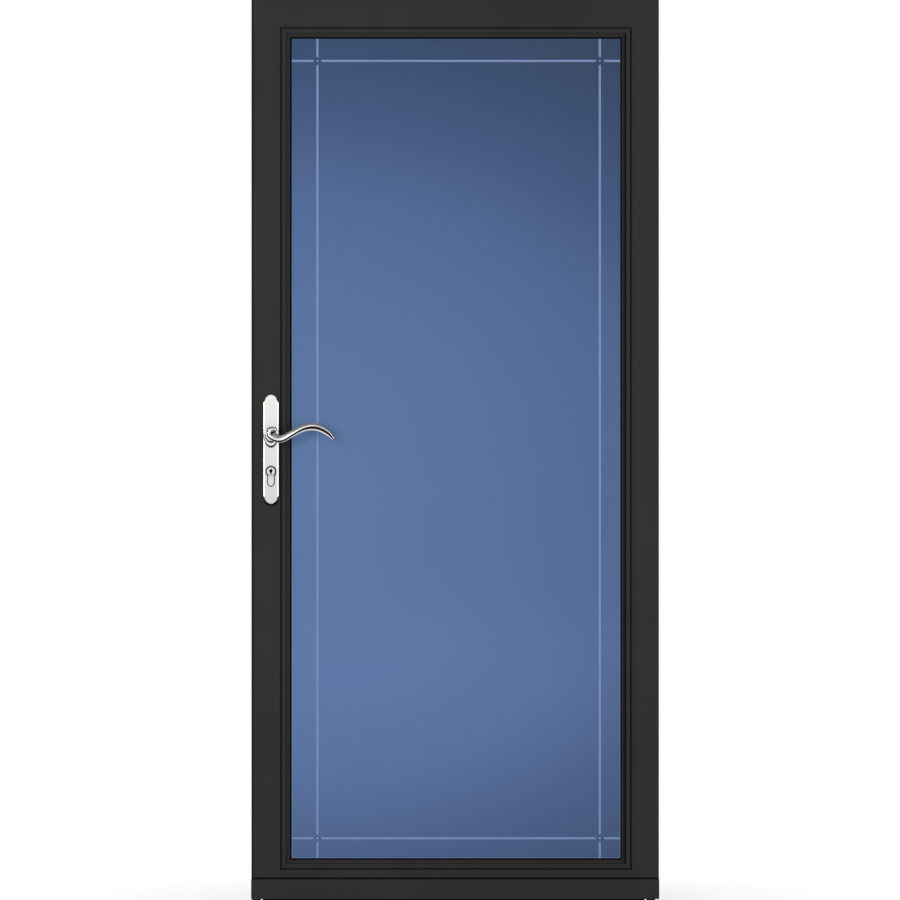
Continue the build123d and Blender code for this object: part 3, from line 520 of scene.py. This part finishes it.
def curveThrough(knots, count):
    # natural cubic through the knots by chord length: the second derivatives m solve
    # h0*m0 + 2*(h0 + h1)*m1 + h1*m2 = 6*(slope1 - slope0) at each inner knot
    knots = np.asarray(knots, float)
    at = np.concatenate([[0], np.cumsum(np.linalg.norm(np.diff(knots[:, :2], axis=0), axis=1))])
    h = np.diff(at)
    slope = np.diff(knots, axis=0) / h[:, None]
    system = np.eye(len(knots))
    inner = np.arange(1, len(knots) - 1)
    system[inner, inner - 1] = h[:-1]
    system[inner, inner] = 2 * (h[:-1] + h[1:])
    system[inner, inner + 1] = h[1:]
    right = np.zeros_like(knots)
    right[1:-1] = 6 * np.diff(slope, axis=0)
    m = np.linalg.solve(system, right)
    t = np.linspace(0, at[-1], count)
    i = np.clip(np.searchsorted(at, t, side="right") - 1, 0, len(h) - 1)
    before, after, width = (t - at[i])[:, None], (at[i + 1] - t)[:, None], h[i][:, None]
    return ((m[i] * after**3 + m[i + 1] * before**3) / (6 * width)
            + (knots[i] / width - m[i] * width / 6) * after
            + (knots[i + 1] / width - m[i + 1] * width / 6) * before)


def tubeFaces(rings, sides):
    # quads between neighbouring rings of a closed tube, and a fan onto a pole at each end
    i, j = np.meshgrid(np.arange(rings - 1), np.arange(sides), indexing="ij")
    a, b = i * sides + j, i * sides + (j + 1) % sides
    quads = np.stack([a, b, b + sides, a + sides], axis=-1).reshape(-1, 4)
    k = np.arange(sides)
    first, last = rings * sides, rings * sides + 1
    start = np.stack([np.full(sides, first), (k + 1) % sides, k], axis=-1)
    tail = (rings - 1) * sides
    end = np.stack([np.full(sides, last), tail + k, tail + (k + 1) % sides], axis=-1)
    return quads.tolist() + start.tolist() + end.tolist()


# Lever. Its line is that of the CAD lever, fuller at the scroll: millimetres right of and
# above the hub, height of the section across the line and its depth in and out of the door.
lever = {
    "line": [
        (11.6, 7.8, 8.5, 8.0), (5.0, 9.0, 10.5, 9.0), (-2.2, 4.6, 12.0, 10.0), (-2.0, -3.0, 13.0, 11.0),
        (5.6, -9.2, 15.0, 12.0), (15.8, -12.8, 17.0, 12.0), (26.5, -12.4, 16.5, 12.0),
        (39.5, -6.2, 15.5, 12.0), (52.5, 1.2, 15.5, 12.0), (64.5, 7.6, 16.0, 11.5),
        (77.5, 12.6, 17.0, 11.0), (93.5, 14.8, 18.0, 10.5), (107.5, 12.4, 16.5, 10.0),
        (120.5, 6.2, 14.5, 9.0), (133.0, -3.4, 11.0, 7.5), (141.5, -14.4, 5.0, 5.0),
    ],
    "rings": 180,
    "sides": 96,
    "endRings": 8,
    "slimmer": 0.92,  # the section's depth over that of the line, to stay inside the CAD lever
    "stages": (0.0, 0.22, 0.45, 1.0),  # shares of the length where the next four rows are given
    "ridge": {"height": 0.05, "width": (9.0, 8.0, 7.0, 6.0), "places": (-20.0, -10.0, 0.0, 40.0)},  # degrees
    "groove": {"depth": 0.14, "width": (22.0, 18.0, 18.0, 34.0), "places": (-68.0, -48.0, -32.0, -2.0)},
    # top, under and the tones below are painted reflection: shade above and below the groove, a painted highlight
    # on the ridge, the groove painted black
    "top": (0.40, 0.36, 0.26, 0.24),
    "under": (0.0, 0.3, 0.85, 0.85),
    "paintedReflectionTones": {"ridge": 1.0, "groove": 0.0, "back": 0.50},
}


def degreesApart(a, b):
    # signed angle from b to a, between -180 and 180
    return (a - b + 180) % 360 - 180


def leverSurface(k):
    # ring i is the section round the curve at i: across the line by sin, out of the door by
    # cos, on a radius of 1 plus a bell exp(-|a/w|^2) for the ridge minus a squarer one,
    # exp(-|a/w|^6), for the groove; the ends close as half ellipsoids
    line = curveThrough(k["line"], k["rings"])
    tangent = np.gradient(line[:, :2], axis=0)
    tangent /= np.linalg.norm(tangent, axis=1)[:, None]
    bend = np.sin(np.linspace(0, math.pi / 2, k["endRings"] + 1))[1:]
    head, foot = line[:1].repeat(k["endRings"], 0), line[-1:].repeat(k["endRings"], 0)
    shrink = np.sqrt(1 - np.minimum(bend, 0.995)**2)
    for end, way in ((head, -tangent[0]), (foot, tangent[-1])):
        end[:, :2] += way * (bend * end[:, 2] / 2 * 0.6)[:, None]
        end[:, 2:] *= shrink[:, None]
    line = np.vstack([head[::-1], line, foot])
    tangent = np.vstack([tangent[:1].repeat(k["endRings"], 0), tangent,
                         tangent[-1:].repeat(k["endRings"], 0)])
    along = np.linspace(0, 1, len(line))[:, None]
    turn = np.linspace(-180, 180, k["sides"], endpoint=False)[None, :]
    stages = k["stages"]

    def bell(part, power):
        middle, width = np.interp(along, stages, part["places"]), np.interp(along, stages, part["width"])
        return np.exp(-np.abs(degreesApart(turn, middle) / width)**power)

    ridge, groove = bell(k["ridge"], 2), bell(k["groove"], 6)
    radius = 1 + k["ridge"]["height"] * ridge - k["groove"]["depth"] * groove
    angle = np.radians(turn)
    across = radius * np.sin(angle) * line[:, 2:3] / 2
    out = radius * np.cos(angle) * line[:, 3:4] / 2 * k["slimmer"]
    x = line[:, 0:1] - tangent[:, 1:2] * across
    z = line[:, 1:2] + tangent[:, 0:1] * across
    points = np.stack([x, -out, z], axis=-1)
    poles = np.array([[points[0].mean(0)], [points[-1].mean(0)]]).reshape(-1, 3)

    # painted reflection: a grey top band, a painted highlight on the ridge, a black groove, a paler band below it
    # and a mid tone behind
    grooveAt = np.interp(along, stages, k["groove"]["places"])
    below = np.clip(-degreesApart(turn, grooveAt) / 12, 0, 1) * (np.abs(turn) < 110)
    behind = np.clip((np.abs(turn) - 95) / 20, 0, 1)
    paintedReflectionTones = k["paintedReflectionTones"]
    tone = np.interp(along, stages, k["top"]) * np.ones_like(turn)
    tone = tone * (1 - below) + np.interp(along, stages, k["under"]) * below
    tone = tone * (1 - behind) + paintedReflectionTones["back"] * behind
    tone = tone * (1 - ridge) + paintedReflectionTones["ridge"] * ridge
    tone = tone * (1 - groove) + paintedReflectionTones["groove"] * groove
    tone = np.append(tone.ravel(), [k["top"][0], k["top"][-1]])
    return np.vstack([points.reshape(-1, 3), poles]), tubeFaces(len(line), k["sides"]), tone


def turnedShape(profile, sides):
    # a profile of (radius, height) turned round its axis, closed at the axis at both ends
    profile = np.asarray(profile, float)
    turn = np.linspace(0, 2 * math.pi, sides, endpoint=False)
    radius, height = profile[1:-1, 0:1], profile[1:-1, 1:2]
    rings = np.stack([radius * np.cos(turn), radius * np.sin(turn), height * np.ones(sides)], axis=-1)
    poles = np.array([[0, 0, profile[0, 1]], [0, 0, profile[-1, 1]]])
    return np.vstack([rings.reshape(-1, 3), poles]), tubeFaces(len(profile) - 2, sides)


leverNeck = {
    # radius and distance from the rose, in mm: a collar, a waist and a flare into the bar
    "profile": [(0, -2.4), (7.9, -2.4), (7.9, 1.2), (8.0, 2.0), (7.4, 3.2), (6.6, 7.0), (6.3, 13.0),
                (6.5, 20.0), (7.2, 26.0), (7.7, 31.0), (7.4, 33.5), (6.0, 34.4), (0, 34.4)],
    "sides": 48,
    "tone": 0.66,
}
# The dome that fills the scroll, and a black disc of painted shade in its eye: place right of and above the
# hub, half width, half height and height above the rose in mm, slope in degrees.
scrollFill = {"place": (6.2, 1.2), "half": (7.5, 6.5), "rise": (30.0, 38.5), "slope": 0.0,
              "sides": 40, "rings": 8, "tone": 0.8}
scrollEyeShade = {"place": (6.4, 1.4), "half": (5.0, 2.3), "rise": (35.0, 41.2), "slope": 14.0,
             "sides": 40, "bevel": (0.94, 0.2)}  # bevel: share of the radius, and mm of height


def oval(profile, k):
    # a round shape of radius 1 made oval, turned by its slope and moved to its place
    points, faces = turnedShape(profile, k["sides"])
    slope = math.radians(k["slope"])
    x, z = points[:, 0] * k["half"][0], points[:, 1] * k["half"][1]
    points[:, 0] = k["place"][0] + x * math.cos(slope) - z * math.sin(slope)
    points[:, 1] = k["place"][1] + x * math.sin(slope) + z * math.cos(slope)
    return points, faces


def domeProfile(k):
    # height at radius r = low + (high - low) * (1 - r^4)
    low, high = k["rise"]
    reach = np.linspace(1, 0, k["rings"] + 1)
    return [(0, low), (1, low)] + [(r, low + (high - low) * (1 - r**4)) for r in reach]


def eyeShadeProfile(k):
    low, high = k["rise"]
    inner, bevel = k["bevel"]
    return [(0, low), (1, low), (1, high - bevel), (inner, high), (0, high)]


# painted light and shade per point, as a layer that the lever finish reads
def addPaintedLight(piece, tone):
    layer = piece.data.attributes.new("paintedLightTone", "FLOAT", "POINT")
    layer.data.foreach_set("value", np.asarray(tone, np.float32))


def makeLever(name, replaced, plate, side):
    # side is -1 for the outside and 1 for the inside, which mirrors it about the door's middle
    end = (side + 1) // 2
    halfDepth = max(k[3] for k in lever["line"]) / 2 * lever["slimmer"] * (1 + lever["ridge"]["height"]) * mm
    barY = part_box(replaced)[end][1] - side * halfDepth
    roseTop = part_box(plate)[end][1]

    def onRose(shape):
        points, faces = shape
        moved = np.stack([hub[0] + mm * points[:, 0], roseTop + side * mm * points[:, 2],
                          hub[2] + mm * points[:, 1]], axis=-1)
        return moved, faces if side > 0 else mirrored(faces)

    points, faces, barTone = leverSurface(lever)
    bar = points * mm * (1, -side, 1) + (hub[0], barY, hub[2]), faces if side < 0 else mirrored(faces)
    neck = onRose(turnedShape(leverNeck["profile"], leverNeck["sides"]))
    fill = onRose(oval(domeProfile(scrollFill), scrollFill))
    piece = newPiece(name, *gathered([bar, neck, fill]), leverNickel, "lever_set", "satin_nickel")
    # painted light per point: the bar's painted reflection bands, and flat tones for the neck and the scroll's
    # dome
    addPaintedLight(piece, np.concatenate([barTone, np.full(len(neck[0]), leverNeck["tone"]),
                                   np.full(len(fill[0]), scrollFill["tone"])]))
    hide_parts(replaced)
    eye = onRose(oval(eyeShadeProfile(scrollEyeShade), scrollEyeShade))
    newPiece(name + "EyeShade", *eye, gasketVinyl, "lever_set", "gasket_vinyl", smooth=False)


makeLever("scrollLeverOutside", "outside_lever", "outside_plate", -1)
makeLever("scrollLeverInside", "inside_lever", "inside_plate", 1)
print("levers made")


# Fastenings. Sizes in mm: radius and height of the head, arm and half width of its cross, and
# how deep the cross goes.
fastenings = {
    "rail": {"radius": 4.0, "height": 2.0, "arm": 2.2, "slot": 0.55, "deep": 1.1},
    "plate": {"radius": 4.05, "height": 0.5, "arm": 2.0, "slot": 0.5, "deep": 0.45},
    "edge": {"radius": 3.4, "height": 1.0, "arm": 1.8, "slot": 0.5, "deep": 0.7},
    "slot": {"radius": 5.0, "height": 2.2, "arm": 2.4, "slot": 0.6, "deep": 1.2},
    "rivet": {"radius": 2.6, "height": 0.9, "arm": 0.0, "slot": 0.0, "deep": 0.0},
    "rings": 9,
    "sides": 24,
}
# Where they sit, in mm: thicknesses under their heads, insets from the ends of what they hold,
# and x from the origin.
seats = {
    "flange": 1.6,
    "hingeStrip": 1.5,
    "lip": 2.0,
    "rivetX": -11.5,
    "rivetInset": 60.0,
    "rivetCount": 11,
    "edgeInset": 6.0,
    "plateDepth": 4.5,
    "plateSink": 0.3,
    "plateInset": 16.0,
    "expanderInset": 90.0,
    "expanderHeight": 19.0,
    "expanderCount": 3,
    "hingeStileX": -16.0,
    "stileHead": 25.0,
    "cornerAboveFoot": (24.0, 46.0),
    "cornerBelowHead": (46.0, 20.0),
}


def screwHead(k):
    # a low dome h*sqrt(1 - 0.9*r^2), less a cross recess |u| < slot, |v| < arm on both axes
    rings, sides = fastenings["rings"], fastenings["sides"]
    reach = np.sin(np.linspace(0, math.pi / 2, rings + 1))[1:][::-1]
    turn = np.linspace(0, 2 * math.pi, sides, endpoint=False)
    radius = np.concatenate([[1.0], reach])[:, None]
    up = k["height"] * np.sqrt(1 - 0.9 * radius**2) * np.ones(sides)
    up[0] = 0.0
    x, z = k["radius"] * radius * np.cos(turn), k["radius"] * radius * np.sin(turn)
    inside = (np.minimum(abs(x), abs(z)) < k["slot"]) & (np.maximum(abs(x), abs(z)) < k["arm"])
    inside[0] = False
    up = np.where(inside, up - k["deep"], up)
    poles = np.array([[0, 0, 0], [0, 0, k["height"] - k["deep"]]])
    return np.vstack([np.stack([x, z, up], axis=-1).reshape(-1, 3), poles]), tubeFaces(len(radius), sides)


def railScrews(rail):
    # heights of the rail's screw holes, and their one x
    mounts = [m for m in frame["record"]["mounts"]
              if m["name"].startswith(rail) and m["kind"] == "bolt_pattern"]
    halves = [m["dims"]["spacing_y_mm"] * mm / 2 for m in mounts]
    heights = [m["pos_m"][2] + sign * half for m, half in zip(mounts, halves) for sign in (-1, 1)]
    return sorted(heights), mounts[0]["pos_m"][0]


def insetEnds(box, inset):
    return box[0][2] + inset * mm, box[1][2] - inset * mm


def makeFastenings(k):
    hingeHeights, hingeX = railScrews("hinge_rail")
    latchHeights, latchX = railScrews("latch_rail")
    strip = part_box("hinge_moving_leaf")
    rivetHeights = np.linspace(*insetEnds(strip, k["rivetInset"]), k["rivetCount"])
    rivetFace = faceY + (k["lip"] + k["hingeStrip"]) * mm
    faceplate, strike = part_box("lock_faceplate"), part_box("strike_plate")
    insideFace = rearY + (k["plateDepth"] - k["plateSink"]) * mm
    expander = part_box("bottom_expander")
    inset = k["expanderInset"] * mm
    expanderPlaces = np.linspace(leafLow[0] + inset, leafRight - inset, k["expanderCount"])
    head = leafTop - k["stileHead"] * mm
    corners = [leafLow[2] + up * mm for up in k["cornerAboveFoot"]]
    corners += [head - down * mm for down in k["cornerBelowHead"]]
    stripFace = -(k["flange"] + k["hingeStrip"]) * mm
    onFrame, onLeaf = ("door_frame", "pin_steel", pinSteel), ("door_leaf", "pin_steel", pinSteel)
    rows = (
        ("hingeRailScrews", "rail", [(hingeX, stripFace, z) for z in hingeHeights], outward, onFrame),
        ("latchRailScrews", "rail", [(latchX, -k["flange"] * mm, z) for z in latchHeights], outward,
         onFrame),
        ("hingeRivets", "rivet", [(k["rivetX"] * mm, rivetFace, z) for z in rivetHeights], inward,
         ("door_leaf", "hinge_metal", uprightPaint)),
        ("faceplateScrews", "edge", [(faceplate[0][0], middleY, z) for z in insetEnds(faceplate,
         k["edgeInset"])], toLatch, onLeaf),
        ("strikeScrews", "edge", [(strike[1][0], middleY, z) for z in insetEnds(strike, k["edgeInset"])],
         toHinge, onFrame),
        ("insidePlateScrews", "plate", [(hub[0], insideFace, z) for z in insetEnds(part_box("inside_plate"),
         k["plateInset"])], inward, ("door_leaf", "satin_nickel", leverNickel)),
        ("expanderScrews", "slot", [(x, expander[1][1], expander[0][2] + k["expanderHeight"] * mm)
         for x in expanderPlaces], inward, onLeaf),
        ("latchCornerScrews", "edge", [(faceplate[1][0], middleY, z) for z in corners], toLatch, onLeaf),
        ("hingeCornerScrews", "edge", [(k["hingeStileX"] * mm, middleY, z) for z in corners], toHinge,
         onLeaf),
    )
    for name, kind, places, axis, (body, slot, material) in rows:
        points, faces = screwHead(fastenings[kind])
        shapes = [(placed(points, place, axis), faces) for place in places]
        newPiece(name, *gathered(shapes), material, body, slot)


outward, inward, toLatch, toHinge = (0, -1, 0), (0, 1, 0), (-1, 0, 0), (1, 0, 0)
makeFastenings(seats)
print("fastenings made")


def turnedRing(profile, sides):
    # a closed loop of (radius, height) turned round its axis
    profile = np.asarray(profile, float)
    turn = np.linspace(0, 2 * math.pi, sides, endpoint=False)
    rings = np.stack([profile[:, 0:1] * np.cos(turn), profile[:, 0:1] * np.sin(turn),
                      profile[:, 1:2] * np.ones(sides)], axis=-1)
    i, j = np.meshgrid(np.arange(len(profile)), np.arange(sides), indexing="ij")
    a, b, up = i * sides + j, i * sides + (j + 1) % sides, (i + 1) % len(profile) * sides
    faces = np.stack([a, b, up + (j + 1) % sides, up + j], axis=-1).reshape(-1, 4)
    return rings.reshape(-1, 3), faces.tolist()


def beadAlong(path, width, low, high):
    # a flat-topped strip along a path in the plane of the door, its ends closed
    path = np.asarray(path, float)
    way = np.gradient(path, axis=0)
    way /= np.linalg.norm(way, axis=1)[:, None]
    side = np.stack([-way[:, 1], way[:, 0]], axis=-1) * width / 2
    corners = [(-1, low), (-1, high), (1, high), (1, low)]
    rings = np.stack([np.column_stack([path + side * sign, np.full(len(path), height)])
                      for sign, height in corners], axis=1)
    i, j = np.meshgrid(np.arange(len(path) - 1), np.arange(4), indexing="ij")
    a, b = i * 4 + j, i * 4 + (j + 1) % 4
    walls = np.stack([a, a + 4, b + 4, b], axis=-1).reshape(-1, 4).tolist()
    last = len(path) * 4 - 1
    return rings.reshape(-1, 3), walls + [[0, 1, 2, 3], [last, last - 1, last - 2, last - 3]]


# Drop-shaped rose under each lever: three rounded steps, as (radius, height, painted shade of the lower
# side), in mm from the hub's axis and from the top of the CAD rose that it covers.
rose = {
    "steps": [(8.4, -3.0, 0.1), (17.0, -3.0, 0.1), (17.0, -2.0, 0.02), (16.0, -1.2, 0.04), (15.0, -1.5, 0.9),
              (14.4, -0.4, 0.8), (13.6, 0.2, 0.03), (12.6, 0.0, 0.03), (12.0, 1.2, 0.75), (10.8, 2.0, 0.7),
              (9.6, 1.8, 0.03), (8.9, 2.8, 0.03), (8.4, 3.2, 0.2)],
    "sides": 96,
    "drop": 0.9,  # share of its radius by which the outermost ring reaches further down
    "flatten": 0.3,  # share of the drop by which its upper half is lower than round
    "tone": 0.7,
}


def dropRose(k):
    # below the axis a ring is stretched by 1 + s, above it shrunk by 1 - flatten * s, where s
    # grows from 0 at the innermost ring to drop at the outermost
    radius, height, shade = np.array(k["steps"]).T
    points, faces = turnedRing(np.column_stack([radius, height]), k["sides"])
    share = k["drop"] * (radius - radius.min()) / np.ptp(radius)
    points = points.reshape(len(radius), k["sides"], 3)
    lowered = np.clip(-points[:, :, 1] / radius[:, None] + 0.1, 0, 1)
    points[:, :, 1] *= 1 + share[:, None] * np.where(points[:, :, 1] < 0, 1, -k["flatten"])
    # painted shade: the lower side of each ring darkens to its own shade
    tone = k["tone"] + (shade[:, None] - k["tone"]) * np.minimum(1, 3 * lowered)
    return points.reshape(-1, 3), faces, tone.ravel()


for name, plate, axis, end in (("turnedRoseOutside", "outside_plate", outward, 0),
                               ("turnedRoseInside", "inside_plate", inward, 1)):
    points, faces, tone = dropRose(rose)
    place = (hub[0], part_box(plate)[end][1], hub[2])
    piece = newPiece(name, placed(points, place, axis), faces, leverNickel, "door_leaf", "satin_nickel")
    addPaintedLight(piece, tone)

# Black strips of painted shade, in mm: round the key cylinder, a ring on its face, and a painted shadow in a
# crescent below the plate's foot. Each is rooted a little below the face that it sits on.
paintedShadeStrips = {
    "cylinder": {"barrel": 11.1, "lobe": 7.1, "lobeDrop": 25.8, "width": 2.1, "root": -0.4, "height": 0.9},
    "line": {"radius": 9.9, "width": 1.2, "root": -0.2, "height": 0.12, "sides": 48},
    "foot": {"radius": 16.7, "halfAngle": 56.0, "lap": 1.0, "reach": 3.0, "root": -0.2, "height": 0.5},
}
keyholeShade = {"radius": 3.8, "lift": 1.5, "root": -3.4, "height": 0.06, "slitWidth": 3.2, "slitTo": -6.4,
          "sides": 32}


def cylinderShadeOutline(k):
    # painted shade round the cylinder, from the right of the lobe round the top of the barrel, then down and
    # round the lobe; the circle stops where it meets the lobe's sides, asin(lobe / barrel) from its foot
    meet = math.asin(k["lobe"] / k["barrel"])
    turn = np.linspace(-math.pi / 2 + meet, 1.5 * math.pi - meet, 60)
    barrel = np.column_stack([k["barrel"] * np.cos(turn), k["barrel"] * np.sin(turn)])
    foot = np.linspace(math.pi, 2 * math.pi, 24)
    lobe = np.column_stack([k["lobe"] * np.cos(foot), k["lobe"] * np.sin(foot) - k["lobeDrop"]])
    return beadAlong(np.vstack([barrel, lobe, barrel[:1]]), k["width"], k["root"], k["height"])


# painted shade: a thin black ring on the cylinder's face
def barrelShadeRing(k):
    inner, outer = k["radius"] - k["width"] / 2, k["radius"] + k["width"] / 2
    return turnedRing([(inner, k["root"]), (outer, k["root"]), (outer, k["height"]), (inner, k["height"])],
                      k["sides"])


def footShadowCrescent(k):
    # a painted shadow: an arc about the middle of the plate's lower arch, from lap inside its edge to reach
    # outside
    angles = np.radians(np.linspace(-k["halfAngle"], k["halfAngle"], 40))
    width = k["lap"] + k["reach"]
    radius = k["radius"] - k["lap"] + width / 2
    path = np.column_stack([radius * np.sin(angles), -radius * np.cos(angles)])
    return beadAlong(path, width, k["root"], k["height"])


def keyHole(k):
    # painted shade of a round hole with a slit below it, as black inlays that stand just proud of the plug
    points, faces = turnedShape([(0, k["root"]), (k["radius"], k["root"]), (k["radius"], k["height"]),
                                 (0, k["height"])], k["sides"])
    slit = beadAlong([(0, 0), (0, k["slitTo"])], k["slitWidth"], k["root"], k["height"])
    return gathered([(points + (0, k["lift"], 0), faces), slit])


plug = jointPlace("key_plug_turn")
plateFront = faceY - seats["plateDepth"] * mm
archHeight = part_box("outside_plate")[0][2] + paintedShadeStrips["foot"]["radius"] * mm
for name, shape, place, body, slot in (
    ("cylinderShadowRing", cylinderShadeOutline(paintedShadeStrips["cylinder"]), (plug[0], plateFront, plug[2]), "door_leaf",
     "gasket_vinyl"),
    ("barrelShadeLine", barrelShadeRing(paintedShadeStrips["line"]), (plug[0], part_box("key_cylinder")[0][1], plug[2]), "door_leaf",
     "gasket_vinyl"),
    ("plateFootShadow", footShadowCrescent(paintedShadeStrips["foot"]), (hub[0], faceY, archHeight), "door_leaf", "gasket_vinyl"),
    ("keyholeShade", keyHole(keyholeShade), (plug[0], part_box("key_plug")[0][1], plug[2]), "lock_plug", "satin_nickel"),
):
    points, faces = shape
    newPiece(name, placed(points, place, outward), faces, gasketVinyl, body, slot, smooth=False)
print("rose and trims made")


# Weather pile, in mm: a backing strip with rows of bristles, each a closed three-sided spike.
pile = {"backing": 0.8, "pitch": 1.7, "rows": 4, "rowStep": 0.9, "thick": 0.55, "scatter": 0.35,
        "shorter": 0.12, "seed": 7}  # shorter: the largest share by which a bristle falls short


def bristles(k, low, high, axis, along):
    # spikes that grow from the box's high side on one axis to its low side, in rows along
    # another, every second row half a pitch on
    across = 3 - axis - along
    count = int((high[along] - low[along]) / (k["pitch"] * mm))
    chance = np.random.default_rng(k["seed"])
    i, j = np.meshgrid(np.arange(count), np.arange(k["rows"]), indexing="ij")
    centre = np.zeros((i.size, 3))
    centre[:, along] = low[along] + ((i + 0.5 * (j % 2)).ravel() + 0.25) * k["pitch"] * mm
    row = j.ravel() - (k["rows"] - 1) / 2
    centre[:, across] = (low[across] + high[across]) / 2 + row * k["rowStep"] * mm
    length = (low[axis] - high[axis]) * (1 - k["shorter"] * chance.random(i.size))
    turn = np.array([0, 2, 4]) * math.pi / 3
    ring = np.zeros((3, 3))
    ring[:, along] = np.cos(turn) * k["thick"] * mm
    ring[:, across] = np.sin(turn) * k["thick"] * mm
    base = centre[:, None, :] + ring[None]
    base[:, :, axis] = high[axis]
    point = centre + chance.uniform(-1, 1, centre.shape) * k["scatter"] * mm
    point[:, axis] = high[axis] + length
    points = np.concatenate([base, point[:, None, :]], axis=1).reshape(-1, 3)
    spike = np.array([(0, 2, 1), (0, 1, 3), (1, 2, 3), (2, 0, 3)])
    if np.cross(ring[1] - ring[0], ring[2] - ring[0])[axis] > 0:
        spike = spike[:, ::-1]
    faces = (spike[None] + 4 * np.arange(i.size)[:, None, None]).reshape(-1, 3)
    return points, faces.tolist()


def boxShape(low, high):
    x, y, z = zip(low, high)
    points = [(x[i], y[j], z[k]) for i in (0, 1) for j in (0, 1) for k in (0, 1)]
    faces = [(0, 1, 3, 2), (4, 6, 7, 5), (0, 4, 5, 1), (2, 3, 7, 6), (0, 2, 6, 4), (1, 5, 7, 3)]
    return np.array(points), [list(f) for f in faces]


def makeBrush(name, replaced, axis, along, k):
    low, high = (np.array(end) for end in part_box(replaced))
    backLow, tuftHigh = low.copy(), high.copy()
    backLow[axis] = tuftHigh[axis] = high[axis] - k["backing"] * mm
    shapes = [boxShape(backLow, high), bristles(k, low, tuftHigh, axis, along)]
    piece = newPiece(name, *gathered(shapes), gasketVinyl, "door_frame", "weather_pile", smooth=False)
    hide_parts(replaced)


makeBrush("hingeRailBrush", "hinge_rail_pile", 0, 2, pile)
makeBrush("latchRailBrush", "latch_rail_pile", 1, 2, pile)
makeBrush("headerBrush", "header_pile", 1, 0, pile)
print("brushes made")
